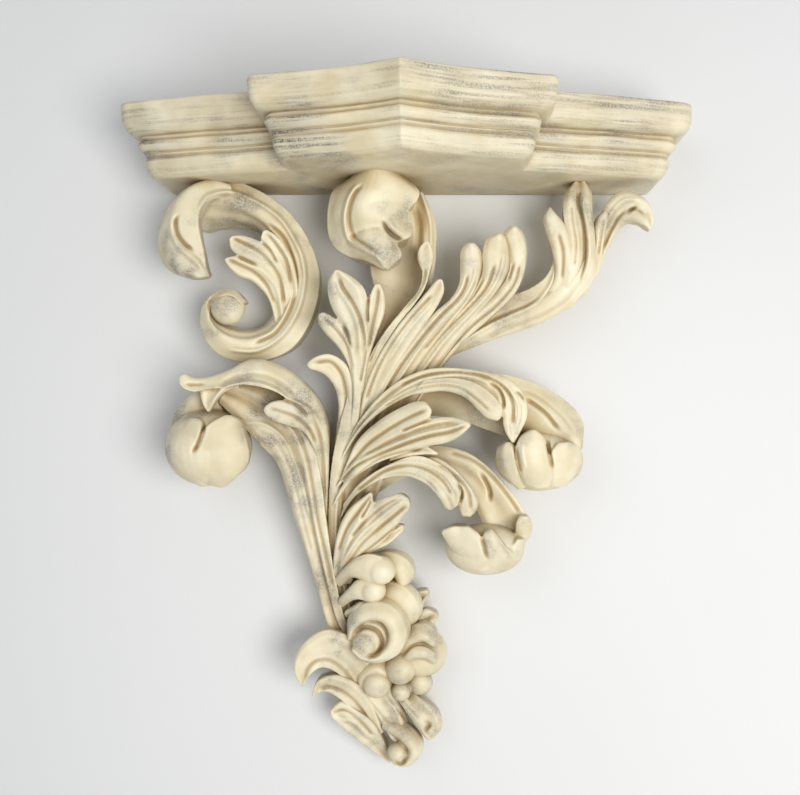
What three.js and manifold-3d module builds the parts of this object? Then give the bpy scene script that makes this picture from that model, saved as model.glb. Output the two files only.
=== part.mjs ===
// A rococo wall bracket: a stepped, moulded shelf carried by a carved spray of acanthus.
// Millimetres. +X is right, -Y comes out of the wall, +Z is up. The origin is the middle of the
// shelf's flat back face, which lies on the wall plane y = 0.
import * as THREE from "three";
import { mergeVertices } from "three/addons/utils/BufferGeometryUtils.js";
import Module from "manifold-3d";

const wasm = await Module();
wasm.setup();

// ---------- driving dimensions ----------
const JOINT_GAP = 0.3; // glue line between two neighbouring pieces
const FINEST_EDGE = 0.02; // slivers thinner than this are closed up after a cut
const SHELF_HALF_WIDTH = 131;
const SHELF_THICKNESS = 32.5;
const SHELF_DEPTH = 104; // wall to the front arris
const BLOCK_HALF_WIDTH = 65; // centre block that breaks forward of the wings
const BLOCK_CORNER_DEPTH = 83;
const WING_ROOT_DEPTH = 62;
const WING_END_DEPTH = 45;
const CORE_INSET = 18; // how far the flat board stays inside the mouldings
const CORNER_SOFTNESS = 4;
const BLOCK_CORNER = 4; // places of the two outside corners in the shelf's plan
const WING_CORNER = 7;
const DOWEL_RADIUS = 3;
const DOWEL_HALF_LENGTH = 8;
const ROUND_SIDES = 10;
const PLATE_THICKNESS = 2;
const PLATE_X = 72; // hanger plates either side of the middle
const SCREW_SPACING = 14;

const TOP = SHELF_THICKNESS / 2;

// The spray is drawn on the wall plane about a centre below the shelf. A point that stands off
// the wall is moved along its line of sight to the eye, so that the drawing keeps its outline.
const DRAWING_CENTRE = [-5, -118.75];
const EYE = new THREE.Vector3(18, -480, -118.75);

const IVORY = new THREE.MeshStandardMaterial({ color: 0xe4dcc0, roughness: 0.55, metalness: 0 });
const STEEL = new THREE.MeshStandardMaterial({ color: 0x9a9a98, roughness: 0.35, metalness: 1 });
const BEECH = new THREE.MeshStandardMaterial({ color: 0xc9a876, roughness: 0.7, metalness: 0 });

// ---------- solids ----------
function solidFrom(geometry) {
  const bare = geometry.clone();
  bare.deleteAttribute("normal");
  bare.deleteAttribute("uv");
  const merged = mergeVertices(bare, 1e-4);
  return new wasm.Manifold(
    new wasm.Mesh({
      numProp: 3,
      vertProperties: merged.attributes.position.array,
      triVerts: new Uint32Array(merged.index.array),
    }),
  );
}

function geometryFrom(solid) {
  const mesh = largestBody(solid.simplify(FINEST_EDGE)).getMesh();
  return new THREE.BufferGeometry()
    .setAttribute("position", new THREE.BufferAttribute(mesh.vertProperties, 3))
    .setIndex(new THREE.BufferAttribute(mesh.triVerts, 1));
}

function box(low, high) {
  const geometry = new THREE.BoxGeometry(high[0] - low[0], high[1] - low[1], high[2] - low[2]);
  geometry.translate((low[0] + high[0]) / 2, (low[1] + high[1]) / 2, (low[2] + high[2]) / 2);
  return solidFrom(geometry);
}

const largestBody = (solid) =>
  solid.decompose().reduce((best, body) => (body.volume() > best.volume() ? body : best));

const BEHIND_WALL = box([-400, 0, -500], [400, 300, 200]);

// Skins a stack of rings that all have the same number of points, and closes both ends.
function loft(rings) {
  const count = rings[0].length;
  const points = rings.flat();
  const index = [];
  for (let i = 0; i + 1 < rings.length; i++)
    for (let j = 0; j < count; j++) {
      const a = i * count + j;
      const b = i * count + ((j + 1) % count);
      index.push(a, b, b + count, a, b + count, a + count);
    }
  closeEnd(rings[0], 0, true);
  closeEnd(rings.at(-1), (rings.length - 1) * count, false);
  return solidFrom(new THREE.BufferGeometry().setFromPoints(points).setIndex(index));

  function closeEnd(ring, first, flipped) {
    const middle = new THREE.Vector3();
    for (const point of ring) middle.addScaledVector(point, 1 / count);
    points.push(middle);
    for (let j = 0; j < count; j++) {
      const a = first + j;
      const b = first + ((j + 1) % count);
      index.push(...(flipped ? [points.length - 1, b, a] : [points.length - 1, a, b]));
    }
  }
}

// ---------- carved lobes ----------
// Places across a lobe's face, from its left edge to its right edge, and across its back.
const ACROSS = [-1, -2 / 3, 0, 2 / 3, 1];
const STROKE_BACK = [0.7, -0.7];
const LEAF_BACK = [0.85, -0.85];
const RINGS_PER_POINT = 0.7;
const THINNEST = 0.4;

// Height of the face at each of those places.
const CUSHION = [-3, 0.2, 2.5, 0.2, -3];
const RIDGED = [-1.2, -0.9, 1.2, -0.9, -1.2];
const CHANNEL = [-0.5, 0.6, -0.4, 0.6, -0.5];
const FINGER = [-2, 0.6, 2, 0.6, -2];
const MIDRIB = [-0.5, 0.5, 0.6, 0.5, -0.5];

function sight([u, v, depth]) {
  const onWall = new THREE.Vector3(u + DRAWING_CENTRE[0], 0, v + DRAWING_CENTRE[1]);
  return onWall.lerp(EYE, depth / -EYE.y);
}

// A stroke is a lobe swept along a spine of points [u, v, depth, half width], u and v being
// millimetres on the wall plane. Its face starts turned to the viewer and is carried along the
// spine without twist, so a spine that dips or rises tips its lobe with it.
function stroke({ at, thick = 8, relief = RIDGED }, grow) {
  const spine = new THREE.CatmullRomCurve3(at.map(sight), false, "centripetal");
  const widths = new THREE.CatmullRomCurve3(at.map((p) => new THREE.Vector3(p[3], 0, 0)));
  const tip = Math.min(Math.max(at.at(-1)[3], 1) / spine.getLength(), 0.4);
  const normal = new THREE.Vector3(0, -1, 0);
  const rings = stopsAlong(at.length, tip).map((place) => {
    const along = spine.getTangentAt(place);
    normal.addScaledVector(along, -normal.dot(along)).normalize();
    const side = along.clone().cross(normal);
    const fullness = roundEnd((1 - place) / tip);
    const half = Math.max(widths.getPoint(spine.getUtoTmapping(place)).x, THINNEST);
    const width = half * fullness + grow;
    const centre = spine.getPointAt(place).addScaledVector(along, grow * endSign(place));
    const face = ACROSS.map((s, i) => [s * width, relief[i] * fullness + grow]);
    const back = STROKE_BACK.map((s) => [s * width, -thick * (1 - 0.5 * s * s) * fullness - grow]);
    return [...face, ...back].map(([across, height]) =>
      centre.clone().addScaledVector(side, across).addScaledVector(normal, height),
    );
  });
  return loft(rings);
}

const endSign = (place) => Number(place === 1) - Number(place === 0);

const roundEnd = (share) => (share >= 1 ? 1 : Math.sqrt(Math.max(1 - (1 - share) ** 2, 0.02)));

function stopsAlong(controls, tip) {
  const steps = Math.ceil(RINGS_PER_POINT * (controls - 1));
  const stops = [];
  for (let i = 0; i <= steps; i++) stops.push(((1 - tip) * i) / steps);
  return [...stops, 1 - tip * 0.3, 1];
}

// A leaf is a lobe between two edges, left and right, each a list of [u, v, depth] from the root
// to the tip, whose points face each other in pairs. relief is the height of its face at the root
// and tipRelief what that turns into. The body reaches back towards the wall by thick.
function leaf({ left, right, relief = CHANNEL, tipRelief = relief, thick = 12 }, grow) {
  const one = new THREE.CatmullRomCurve3(left.map(sight), false, "centripetal");
  const two = new THREE.CatmullRomCurve3(right.map(sight), false, "centripetal");
  const steps = Math.ceil(RINGS_PER_POINT * (left.length - 1));
  const ribs = Array.from({ length: steps + 1 }, (_, i) => rib(one, two, i / steps));
  const widest = Math.max(...ribs.map((r) => r.half));
  const turn = Math.sign(-ribs.reduce((sum, r) => sum + r.facing.y, 0));
  const rings = ribs.map(({ place, middle, spread, along, facing, half }) => {
    const fullness = THREE.MathUtils.clamp(half / (widest / 2), 0.02, 1) ** 0.6;
    const share = place ** 1.5;
    const width = (half + grow) * turn;
    const centre = middle.clone().addScaledVector(along, grow * endSign(place));
    const face = ACROSS.map((s, i) => {
      const height = THREE.MathUtils.lerp(relief[i], tipRelief[i], share) * fullness;
      const point = centre.clone().addScaledVector(spread, s * width);
      return point.addScaledVector(facing, (height + grow) * turn);
    });
    const back = LEAF_BACK.map((s) => {
      const drop = new THREE.Vector3(0, thick * fullness * (1 - 0.3 * s * s) + grow, 0);
      return centre.clone().addScaledVector(spread, s * width).add(drop);
    });
    return [...face, ...back];
  });
  return loft(rings);
}

function rib(one, two, place) {
  const [start, end] = [one.getPoint(place), two.getPoint(place)];
  const spread = end.clone().sub(start).divideScalar(2);
  const half = Math.max(spread.length(), THINNEST);
  const along = one.getTangent(place).add(two.getTangent(place)).normalize();
  spread.normalize();
  const facing = spread.clone().cross(along).normalize();
  return { place, middle: start.lerp(end, 0.5), spread, along, facing, half };
}

// ball: [u, v, depth, radius], pressed flatter by squash = [x, y, z]
function ballSolid({ ball, squash = [1, 1, 1] }, grow) {
  const geometry = new THREE.SphereGeometry(ball[3] + grow, ROUND_SIDES, 6);
  geometry.scale(...squash);
  geometry.translate(...sight(ball));
  return solidFrom(geometry);
}

function lobeSolid(lobe, grow) {
  if (lobe.ball) return ballSolid(lobe, grow);
  return lobe.at ? stroke(lobe, grow) : leaf(lobe, grow);
}

function carve(lobes, grow = 0) {
  const solids = lobes.map((lobe) => lobeSolid(lobe, grow));
  return solids.reduce((joined, solid) => joined.add(solid));
}

// ---------- shelf ----------
// Right half of a plan as [x, depth], from the front arris to the wall, and its mirror image.
function mirrored(right) {
  const left = right.slice(1).map(([x, depth]) => [-x, depth]);
  return [...right, ...left.reverse()];
}

const SHELF_PLAN = mirrored([
  [0, SHELF_DEPTH],
  [12, 98],
  [28, 91],
  [45, 87],
  [BLOCK_HALF_WIDTH, BLOCK_CORNER_DEPTH],
  [BLOCK_HALF_WIDTH + 0.5, WING_ROOT_DEPTH],
  [98, 54.5],
  [SHELF_HALF_WIDTH, WING_END_DEPTH],
  [SHELF_HALF_WIDTH, 0],
]);

const CORE_PLAN = mirrored([
  [0, SHELF_DEPTH - CORE_INSET - 2],
  [BLOCK_HALF_WIDTH - CORE_INSET, BLOCK_CORNER_DEPTH - CORE_INSET],
  [BLOCK_HALF_WIDTH - CORE_INSET, WING_ROOT_DEPTH - CORE_INSET],
  [SHELF_HALF_WIDTH - CORE_INSET, WING_END_DEPTH - CORE_INSET],
  [SHELF_HALF_WIDTH - CORE_INSET, 0],
]);

// Levels of the moulding as [height, inset], from the underside up: a plain ogee, two thin
// ridges, a flat band and a big cushion on top.
const MOULDING = [
  [-TOP, 15.2],
  [-15.6, 12.6],
  [-13.2, 10.4],
  [-9, 9.2],
  [-7.2, 10.2],
  [-6.2, 8.5],
  [-5.2, 9.5],
  [-3.2, 7.1],
  [-0.6, 6.8],
  [0.1, 7.5],
  [1, 5.8],
  [2, 6.7],
  [4.2, 3.1],
  [9, 0.7],
  [14.5, 0.1],
  [TOP, 1.8],
];

// Moves a plan inwards. The two ends on the wall only slide along it.
function insetPlan(plan, inset) {
  return plan.map(([x, depth], i) => {
    if (depth === 0) return [x - Math.sign(x) * inset, 0];
    const a = edgeNormal(plan.at(i - 1), [x, depth]);
    const b = edgeNormal([x, depth], plan[(i + 1) % plan.length]);
    const share = inset / (1 + a[0] * b[0] + a[1] * b[1]);
    return [x + (a[0] + b[0]) * share, depth + (a[1] + b[1]) * share];
  });
}

function edgeNormal([x0, y0], [x1, y1]) {
  const length = Math.hypot(x1 - x0, y1 - y0);
  return [(y1 - y0) / length, (x0 - x1) / length];
}

// Replaces each outside corner by two points a little way along its edges.
function softenCorners(plan) {
  const corners = new Set([BLOCK_CORNER, WING_CORNER, plan.length - BLOCK_CORNER, plan.length - WING_CORNER]);
  return plan.flatMap((point, i) => {
    if (!corners.has(i)) return [point];
    return [towards(point, plan[i - 1]), towards(point, plan[i + 1])];
  });
}

function towards([x, y], [otherX, otherY]) {
  const share = CORNER_SOFTNESS / Math.hypot(otherX - x, otherY - y);
  return [x + (otherX - x) * share, y + (otherY - y) * share];
}

const shelfRing = (plan, height) => plan.map(([x, depth]) => new THREE.Vector3(x, -depth, height));

const boardSolid = (inset, low, high) =>
  loft([low, high].map((height) => shelfRing(insetPlan(CORE_PLAN, inset), height)));

// Cuts the moulded shelf into a flat core board and four lengths of moulding, mitred at the
// arris and butted at the two steps.
function shelfPieces() {
  const whole = loft(
    MOULDING.map(([height, inset]) => shelfRing(softenCorners(insetPlan(SHELF_PLAN, inset)), height)),
  );
  const edging = whole.subtract(boardSolid(-JOINT_GAP, -TOP - 1, TOP + 1));
  const half = JOINT_GAP / 2;
  const split = BLOCK_HALF_WIDTH + 1;
  const between = (low, high) => largestBody(edging.intersect(box([low, -200, -50], [high, 50, 50])));
  return {
    shelf_core: boardSolid(0, -TOP, TOP),
    moulding_centre_left: between(-split, -half),
    moulding_centre_right: between(half, split),
    moulding_wing_left: between(-200, -split - JOINT_GAP),
    moulding_wing_right: between(split + JOINT_GAP, 200),
  };
}

// ---------- hardware ----------
function cylinderAlong(axis, radius, length, position, grow = 0) {
  const geometry = new THREE.CylinderGeometry(radius + grow, radius + grow, length + 2 * grow, ROUND_SIDES);
  if (axis === "z") geometry.rotateX(Math.PI / 2);
  geometry.translate(...position);
  return solidFrom(geometry);
}

// A keyhole hanger let in flush with the back of the core, its slot open upwards.
function hangerPlate(x, grow = 0) {
  const back = -0.4;
  const plate = box(
    [x - 11 - grow, back - PLATE_THICKNESS - grow, -8 - grow],
    [x + 11 + grow, grow ? 1 : back, 8 + grow],
  );
  if (grow) return plate.add(cylinderAlong("y", 4.6, 16, [x, -8, -1]));
  const keyhole = cylinderAlong("y", 3.8, 20, [x, -2, -2]);
  const slot = box([x - 1.9, -20, -2], [x + 1.9, 10, 5]);
  const holes = screwPlaces(x).map((place) => cylinderAlong("y", 1.9, 20, [place, -2, 0]));
  return [keyhole, slot, ...holes].reduce((rest, hole) => rest.subtract(hole), plate);
}

const screwPlaces = (x) => [x - SCREW_SPACING / 2 - 1, x + SCREW_SPACING / 2 + 1];

// A small countersunk screw: lathed head, shank and point.
function screw(x, grow = 0) {
  const profile = [
    [0, 0],
    [1.6, 0],
    [1.6, 0.9],
    [1.2, 1.4],
    [1.2, 9],
    [0, 11],
  ].map(([radius, y]) => new THREE.Vector2(radius && radius + grow, y + (y > 10 ? grow : 0)));
  const geometry = new THREE.LatheGeometry(profile, ROUND_SIDES);
  geometry.rotateX(Math.PI);
  geometry.translate(x, -0.5, 0);
  return solidFrom(geometry);
}

// ---------- the carved spray ----------
// Every entry is one piece, in order from the front backwards: where two pieces meet, the later
// one is cut to fit the earlier.
const SPRAY = {
  // rolled bud in the middle, glued up under the shelf
  centre_curl: [
    { ball: [-15, 91, 34, 17], squash: [1.1, 1, 1] },
    {
      left: [
        [-24, 112, 36], [-33.5, 105, 37], [-36, 97, 38], [-36.5, 89, 38], [-35.5, 81, 39],
        [-31.5, 75, 41], [-25, 71.3, 44], [-18, 70, 46], [-9, 65.5, 49],
      ],
      right: [
        [2, 112, 36], [9.5, 105, 37], [8.5, 99.5, 39], [5, 95.5, 41], [6.3, 87.5, 43],
        [5, 81.5, 45], [-1, 78.8, 48], [0.8, 72, 49], [-6, 65.2, 49],
      ],
      relief: [0, 9, 17, 8, 0],
      tipRelief: [0, 4, 7, 3, 0],
      thick: 26,
    },
  ],
  // side scroll on the left with its own small leaf
  c_scroll_leaf: [
    {
      left: [
        [-62, 32, 18], [-64, 44, 22], [-67, 52, 26], [-74, 59, 30], [-81, 62, 33], [-86, 66.5, 35],
        [-88, 70, 36],
      ],
      right: [
        [-57, 34, 20], [-58.5, 47, 24], [-61, 58, 28], [-68, 66, 32], [-76, 70, 34], [-83, 72, 36],
        [-87.5, 71, 36],
      ],
      relief: CHANNEL,
      thick: 16,
    },
    {
      left: [
        [-58.5, 38, 20], [-60, 53, 25], [-66, 64, 30], [-73, 68.5, 33], [-80, 71.5, 35],
        [-85, 76, 36], [-85.5, 80.5, 37],
      ],
      right: [
        [-53, 38, 20], [-54.5, 55, 25], [-59, 69, 30], [-66, 77, 33], [-74, 81, 35],
        [-80, 82.5, 36], [-84.5, 82, 37],
      ],
      relief: MIDRIB,
      thick: 16,
    },
    {
      left: [
        [-55, 42, 22], [-57, 60, 26], [-62, 71, 30], [-67.5, 77, 33], [-69.8, 81, 35],
        [-68.5, 84.8, 35],
      ],
      right: [
        [-50, 42, 22], [-51.5, 60, 26], [-54.5, 72, 29], [-59, 79.5, 32], [-63.5, 83.5, 34],
        [-67, 85.2, 35],
      ],
      relief: CHANNEL,
      thick: 16,
    },
  ],
  c_scroll_bead: [
    { ball: [-86, 46, 25, 8.2], squash: [1, 0.8, 1] },
  ],
  c_scroll_band: [
    {
      left: [
        [-88, 110, 23], [-98, 109.5, 25], [-107.5, 105.5, 28], [-114.5, 98.5, 30], [-119, 90, 31],
        [-121, 80, 31], [-120, 71, 32], [-114, 63.5, 34], [-104, 61, 37], [-96.5, 61.3, 39],
      ],
      right: [
        [-84, 100, 24], [-90, 101, 29], [-95, 100, 34], [-99.5, 96, 38], [-100.8, 90, 40],
        [-99.8, 82, 41], [-98, 74, 41], [-97, 67, 40], [-96, 64, 40], [-95.5, 61.8, 39],
      ],
      relief: [0, 4, 6, 2, 0],
      tipRelief: [0, 3, 6, 3, 0],
      thick: 16,
    },
    {
      left: [
        [-112, 99, 25], [-106, 106, 25], [-98, 110, 25], [-86, 110.3, 25], [-75, 107, 25],
        [-64, 101, 24], [-54, 92.5, 24], [-45, 79, 23], [-40.3, 64, 22], [-41, 51, 22],
        [-46, 36.5, 22], [-55, 25, 22], [-68, 19.5, 22], [-80, 19, 23], [-91, 23, 24],
        [-98, 31, 25], [-100.3, 40, 26], [-98, 49, 27], [-91, 55, 28], [-82.5, 55, 28],
        [-77, 49.5, 26],
      ],
      right: [
        [-101, 86, 18], [-97, 84.5, 14], [-92, 85.5, 12], [-86, 86, 10], [-79, 86, 10],
        [-72, 84, 10], [-67, 80, 10], [-63, 72.5, 9], [-60.8, 62, 8], [-61, 53, 8], [-63, 45, 8],
        [-67, 38.5, 8], [-72, 35.8, 10], [-78, 35.8, 13], [-84, 37.3, 16], [-90, 38.8, 19],
        [-94.5, 42.5, 22], [-95.5, 48, 24], [-90.5, 52, 25], [-84, 51.5, 26], [-80, 48, 25],
      ],
      relief: [0, 6.5, 7, 3, 0],
      thick: 26,
    },
  ],
  // leaf that folds over the left bud
  left_over_leaf: [
    {
      left: [
        [-40, -70, 20], [-40.5, -35, 27], [-44, -21, 32], [-50, -8, 36], [-57, 0, 40],
        [-66, 4.8, 43], [-78, 7, 45], [-88, 5.5, 46], [-96, 5, 46], [-104, 3.8, 46],
        [-109.5, 6.5, 46], [-111, 10, 45],
      ],
      right: [
        [-36.5, -70, 18], [-35.5, -32, 23], [-35.5, -15, 27], [-38.5, -3, 29], [-47, 8.5, 31],
        [-60, 17.5, 33], [-74, 20.5, 35], [-86, 15, 38], [-95.5, 11.7, 41], [-103, 11.3, 43],
        [-108, 13.3, 44], [-110.2, 12.3, 44],
      ],
      relief: [0.6, 0.2, 1.6, 1.8, 0],
      tipRelief: [0.8, 0.4, 0.6, 0.8, 0],
      thick: 13,
    },
    {
      left: [
        [-40.5, -42, 24], [-43, -26, 30], [-48, -16.5, 35], [-56, -13, 39], [-63.5, -10.5, 42],
        [-67.5, -7.3, 43], [-68.5, -5, 43],
      ],
      right: [
        [-36.5, -42, 23], [-37.5, -20, 29], [-41.5, -8, 34], [-49, -1.5, 38], [-57.5, 0, 41],
        [-64.5, -1, 43], [-67.5, -3, 43],
      ],
      relief: MIDRIB,
      thick: 10,
    },
    {
      left: [[-84, 8, 42], [-97, 9, 43], [-100, 4, 44], [-99, -2, 43], [-96.5, -6, 42]],
      right: [[-80, 6, 43], [-85, 5.5, 44], [-90, 2, 44], [-93.5, -3, 43], [-95.5, -6.2, 42]],
      relief: CHANNEL,
      thick: 8,
    },
  ],
  left_bud: [
    { ball: [-95.5, -23.5, 29, 18.2], squash: [1.1, 1.1, 1] },
    {
      left: [
        [-112, -34, 24], [-117, -24, 26], [-115, -12, 28], [-110.5, -3, 30], [-105.5, 2, 32],
        [-100, 5, 34],
      ],
      right: [
        [-90, -34, 28], [-86, -24, 30], [-86, -12, 30], [-89, -4, 31], [-93, 1, 33], [-97, 4, 34],
      ],
      relief: [0, 3, 4, 2, 0],
      thick: 20,
    },
    {
      left: [
        [-100, -41, 30], [-110, -36, 34], [-116.5, -29, 36], [-117.3, -22, 37], [-114, -15, 39],
        [-109, -10.7, 41], [-104, -8.8, 42],
      ],
      right: [
        [-94, -41, 36], [-97, -36, 44], [-99, -29, 48], [-99.5, -22, 49], [-98.8, -16, 49],
        [-98.6, -12, 47], [-99.8, -9.6, 44],
      ],
      relief: [0, 2, 3.4, 1.5, 0],
      tipRelief: [0, 1, 1.2, 0.6, 0],
      thick: 16,
    },
    {
      left: [
        [-98, -41.5, 36], [-101, -36, 44], [-102, -28, 48], [-100, -19, 50], [-97.3, -13.5, 50],
        [-92, -9.7, 48], [-88, -7.7, 46],
      ],
      right: [
        [-84, -39.5, 32], [-77.5, -34.5, 38], [-75.3, -28, 40], [-76.8, -20, 42], [-78.3, -14, 42],
        [-80.5, -9.5, 43], [-84.5, -7.6, 44],
      ],
      relief: [0, 1.5, 4, 3, 0],
      tipRelief: [0, 0.6, 1.4, 1, 0],
      thick: 16,
    },
  ],
  left_stem: [
    {
      left: [
        [-22, -131, 14], [-34.5, -116, 16], [-42, -92, 18], [-48, -73, 20], [-53, -59, 22],
        [-57.5, -43, 24], [-62, -31, 27], [-70, -22.5, 30], [-78, -14, 32], [-86, -6, 34],
        [-91, -1, 34],
      ],
      right: [
        [-17, -122, 16], [-26, -112, 20], [-31.5, -92, 24], [-34.5, -75, 26], [-37, -58, 27],
        [-39, -42, 28], [-42, -26, 29], [-47, -10, 29], [-57, 2, 29], [-70, 8, 30], [-84, 10, 32],
      ],
      relief: [0, 2.5, -0.5, 1, 0.5],
      tipRelief: [0, 2, 0.4, 1, 0],
      thick: 28,
    },
  ],
  // trunk that everything grows from
  centre_stem: [
    {
      left: [
        [-27, -118, 18], [-34, -90, 20], [-36, -60, 23], [-34, -30, 27], [-27, 0, 29],
        [-17, 28, 29], [-13, 52, 24], [-15, 68, 24], [-12, 84, 25], [-4, 98, 25], [2, 110, 24],
      ],
      right: [
        [-20, -114, 18], [-25, -90, 20], [-22, -62, 24], [-11, -34, 27], [2, -4, 28], [12, 26, 28],
        [14.5, 50, 23], [17.5, 66, 21], [18.3, 79, 22], [17.5, 90, 22], [12, 103, 22],
      ],
      relief: [0, 1, 0, 1.4, 0],
      tipRelief: [0, 1, -1.5, 1.4, 0],
      thick: 22,
    },
  ],
  // three-lobed leaf at the foot of the fan
  trefoil_leaf: [
    {
      left: [
        [-27.5, -30, 26], [-23.5, 5, 33], [-26, 24, 38], [-28.5, 36, 41], [-34, 45, 43],
        [-36.3, 53, 45], [-36, 60, 47], [-32.8, 65, 49],
      ],
      right: [
        [-22, -30, 26], [-19, 5, 33], [-16, 22, 37], [-15.5, 36, 40], [-16, 47, 43], [-18, 56, 45],
        [-24.5, 61.8, 47], [-30.8, 65.2, 49],
      ],
      relief: MIDRIB,
      tipRelief: [-0.8, 1, 0, 1, -0.8],
      thick: 13,
    },
    {
      left: [
        [-22, 4, 32], [-18.5, 22, 36], [-17, 34, 38.5], [-16.5, 44, 40.5], [-15.3, 52, 42],
        [-12.5, 58, 43],
      ],
      right: [
        [-18.5, 4, 32], [-15, 22, 35], [-11, 34, 37], [-7.5, 44, 38.5], [-7.3, 52, 40],
        [-9.8, 58.3, 42],
      ],
      relief: CHANNEL,
      thick: 13,
    },
    {
      left: [
        [-23.5, 5, 31], [-26.5, 18, 34], [-32, 27, 36.5], [-38, 33.5, 39], [-41.3, 39, 41.5],
        [-41, 43, 43],
      ],
      right: [
        [-20, 6, 32], [-22, 20, 36], [-25, 31, 39], [-29.5, 38, 41], [-34.5, 42, 42.5],
        [-38.5, 44, 43.5],
      ],
      relief: CHANNEL,
      tipRelief: [-0.6, 0.8, 1, 0.8, -0.6],
      thick: 13,
    },
  ],
  // middle leaf, pointing right
  middle_right_leaf: [
    {
      left: [
        [-34, -54, 26], [-26, -42, 32], [-14, -33, 38], [0, -27.5, 43], [13, -23.5, 46],
        [24, -21.3, 48], [31, -17.5, 49], [35.3, -13.5, 49],
      ],
      right: [
        [-30, -44, 28], [-20, -30, 35], [-8, -20, 41], [5, -13.5, 45], [16, -9.3, 48],
        [26, -8.5, 49], [33, -10.3, 50], [35.6, -12, 49],
      ],
      relief: MIDRIB,
      tipRelief: [-0.5, 0.6, 0.9, 0.6, -0.5],
      thick: 15,
    },
    {
      left: [
        [-32, -44, 28], [-19, -30, 35], [-7, -22.5, 41], [4, -17, 45], [11, -12.5, 48],
        [15, -8.8, 49], [16, -6, 49],
      ],
      right: [
        [-29, -38, 28], [-22, -21, 35], [-11, -10.5, 41], [0, -3.8, 45], [8, -0.8, 48],
        [13.5, -1.5, 49], [15.7, -4.5, 49],
      ],
      relief: CHANNEL,
      tipRelief: [-0.6, 0.8, 0.8, 0.8, -0.6],
      thick: 15,
    },
    {
      left: [[-6, -31, 36], [4, -28.5, 41], [13, -27.5, 43], [19, -27.7, 43]],
      right: [[2, -22, 40], [8, -22, 43], [14, -23.5, 44], [19.3, -26.7, 43]],
      relief: CHANNEL,
      thick: 12,
    },
  ],
  // upper right leaf with its bud
  upper_right_leaf: [
    {
      left: [
        [-32, -36, 26], [-20, -16, 33], [-5, -3, 38], [10, 3.5, 42], [26, 4.5, 45], [38, 2, 47],
        [47, -2, 48], [51, -7, 48], [51.5, -12, 48], [53, -17, 47], [56, -21.5, 46],
      ],
      right: [
        [-30, -30, 26], [-18, -8, 32], [-3, 7.5, 36], [13, 15, 40], [30, 15.8, 43], [46, 13.3, 45],
        [57.5, 8, 46], [63.3, -1, 46], [63.5, -9, 46], [60.3, -16, 46], [57.2, -21.5, 46],
      ],
      relief: [1, 0.5, -0.6, 1.4, 0],
      tipRelief: [0, 1, 0.8, 1, 0],
      thick: 13,
    },
    {
      left: [
        [6, 2.5, 42], [22, 4.3, 46], [32, 1.2, 48.5], [39, -5.2, 50], [44, -9.5, 50],
        [48.5, -10.6, 49],
      ],
      right: [
        [12, 10, 42], [28, 11, 46], [39, 8, 49], [47.5, 1.5, 51], [51.5, -4.5, 51], [51, -8, 50],
      ],
      relief: [0.4, 0, 1.2, 0.4, -0.6],
      tipRelief: [0.2, 1, 1.4, 1, 0],
      thick: 8,
    },
  ],
  upper_right_bud: [
    { ball: [69.5, -30.5, 29, 14.6], squash: [1.42, 1.2, 0.96] },
    {
      left: [[58, -43, 34], [51, -37, 36], [48, -29.5, 38], [49, -23.5, 40], [53, -20.8, 42]],
      right: [[64, -43, 40], [62, -37, 46], [59.5, -31, 47.5], [58, -25, 47], [56.5, -21.5, 44]],
      relief: [0, 1.5, 2.6, 1.2, 0],
      tipRelief: [0, 1, 2, 0.8, 0],
      thick: 14,
    },
    {
      left: [
        [63, -43, 42], [60, -37, 47], [58, -30, 49], [58, -23, 49], [61, -17.5, 47], [65, -15, 46],
      ],
      right: [
        [75, -43, 42], [76, -37, 46], [75.3, -30, 47], [74, -24, 47], [71.5, -17.8, 46],
        [68, -15, 46],
      ],
      relief: [0, 0.8, 2, 1.4, 0],
      tipRelief: [0, 1, 2, 1.2, 0],
      thick: 14,
    },
    {
      left: [[74, -43, 40], [76, -37, 45], [76, -31, 46], [76, -25.5, 46], [79, -21.5, 44]],
      right: [[85, -41, 32], [90.3, -35, 34], [91, -28, 36], [89, -23, 38], [84.5, -20.8, 41]],
      relief: [0, 1.2, 2.6, 1.5, 0],
      tipRelief: [0, 0.8, 1.8, 0.8, 0],
      thick: 14,
    },
  ],
  upper_right_stem: [
    {
      left: [
        [-18, -24, 16], [0, -12, 20], [16, -8, 23], [32, -11, 26], [46, -16, 28], [58, -20, 29],
        [70, -22, 31], [79, -24, 32], [84, -26, 32], [87, -28, 31],
      ],
      right: [
        [-16, -12, 16], [2, 4, 20], [18, 12.5, 23], [36, 15, 26], [52, 13, 28], [66, 9, 29],
        [79, 2.5, 31], [88, -5, 33], [92, -13, 34], [91.5, -24, 32],
      ],
      relief: [0, 1.5, 3, 2, 0],
      tipRelief: [-1, 1, 5, 3, 0],
      thick: 24,
    },
  ],
  // lower right leaf with its bud
  lower_right_leaf: [
    {
      left: [
        [-30, -60, 24], [-22, -48, 30], [-8, -39.5, 36], [4, -38.5, 41], [13, -42.5, 43],
        [19, -48.5, 44], [22.5, -54, 43], [25, -55.6, 42],
      ],
      right: [
        [-28, -52, 26], [-18, -40, 32], [-4, -31.5, 38], [9, -27.8, 42], [20, -32, 44],
        [28, -39.5, 45], [30.5, -47, 44], [28.8, -53, 43],
      ],
      relief: [1, 0.4, 0.6, 0.8, 0],
      tipRelief: [0, 0.8, 1, 0.8, 0],
      thick: 13,
    },
    {
      left: [
        [4, -34, 39], [16, -34, 42], [25, -39, 43], [30.8, -46, 42], [29.3, -54, 40],
        [30.8, -58.3, 39],
      ],
      right: [
        [9, -28, 39], [20, -29.3, 41], [31.5, -38.3, 41], [38.5, -49, 40], [38.3, -55.5, 39],
        [35.5, -58.5, 39],
      ],
      relief: [0, 0.8, 0, 0.8, 0],
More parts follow.
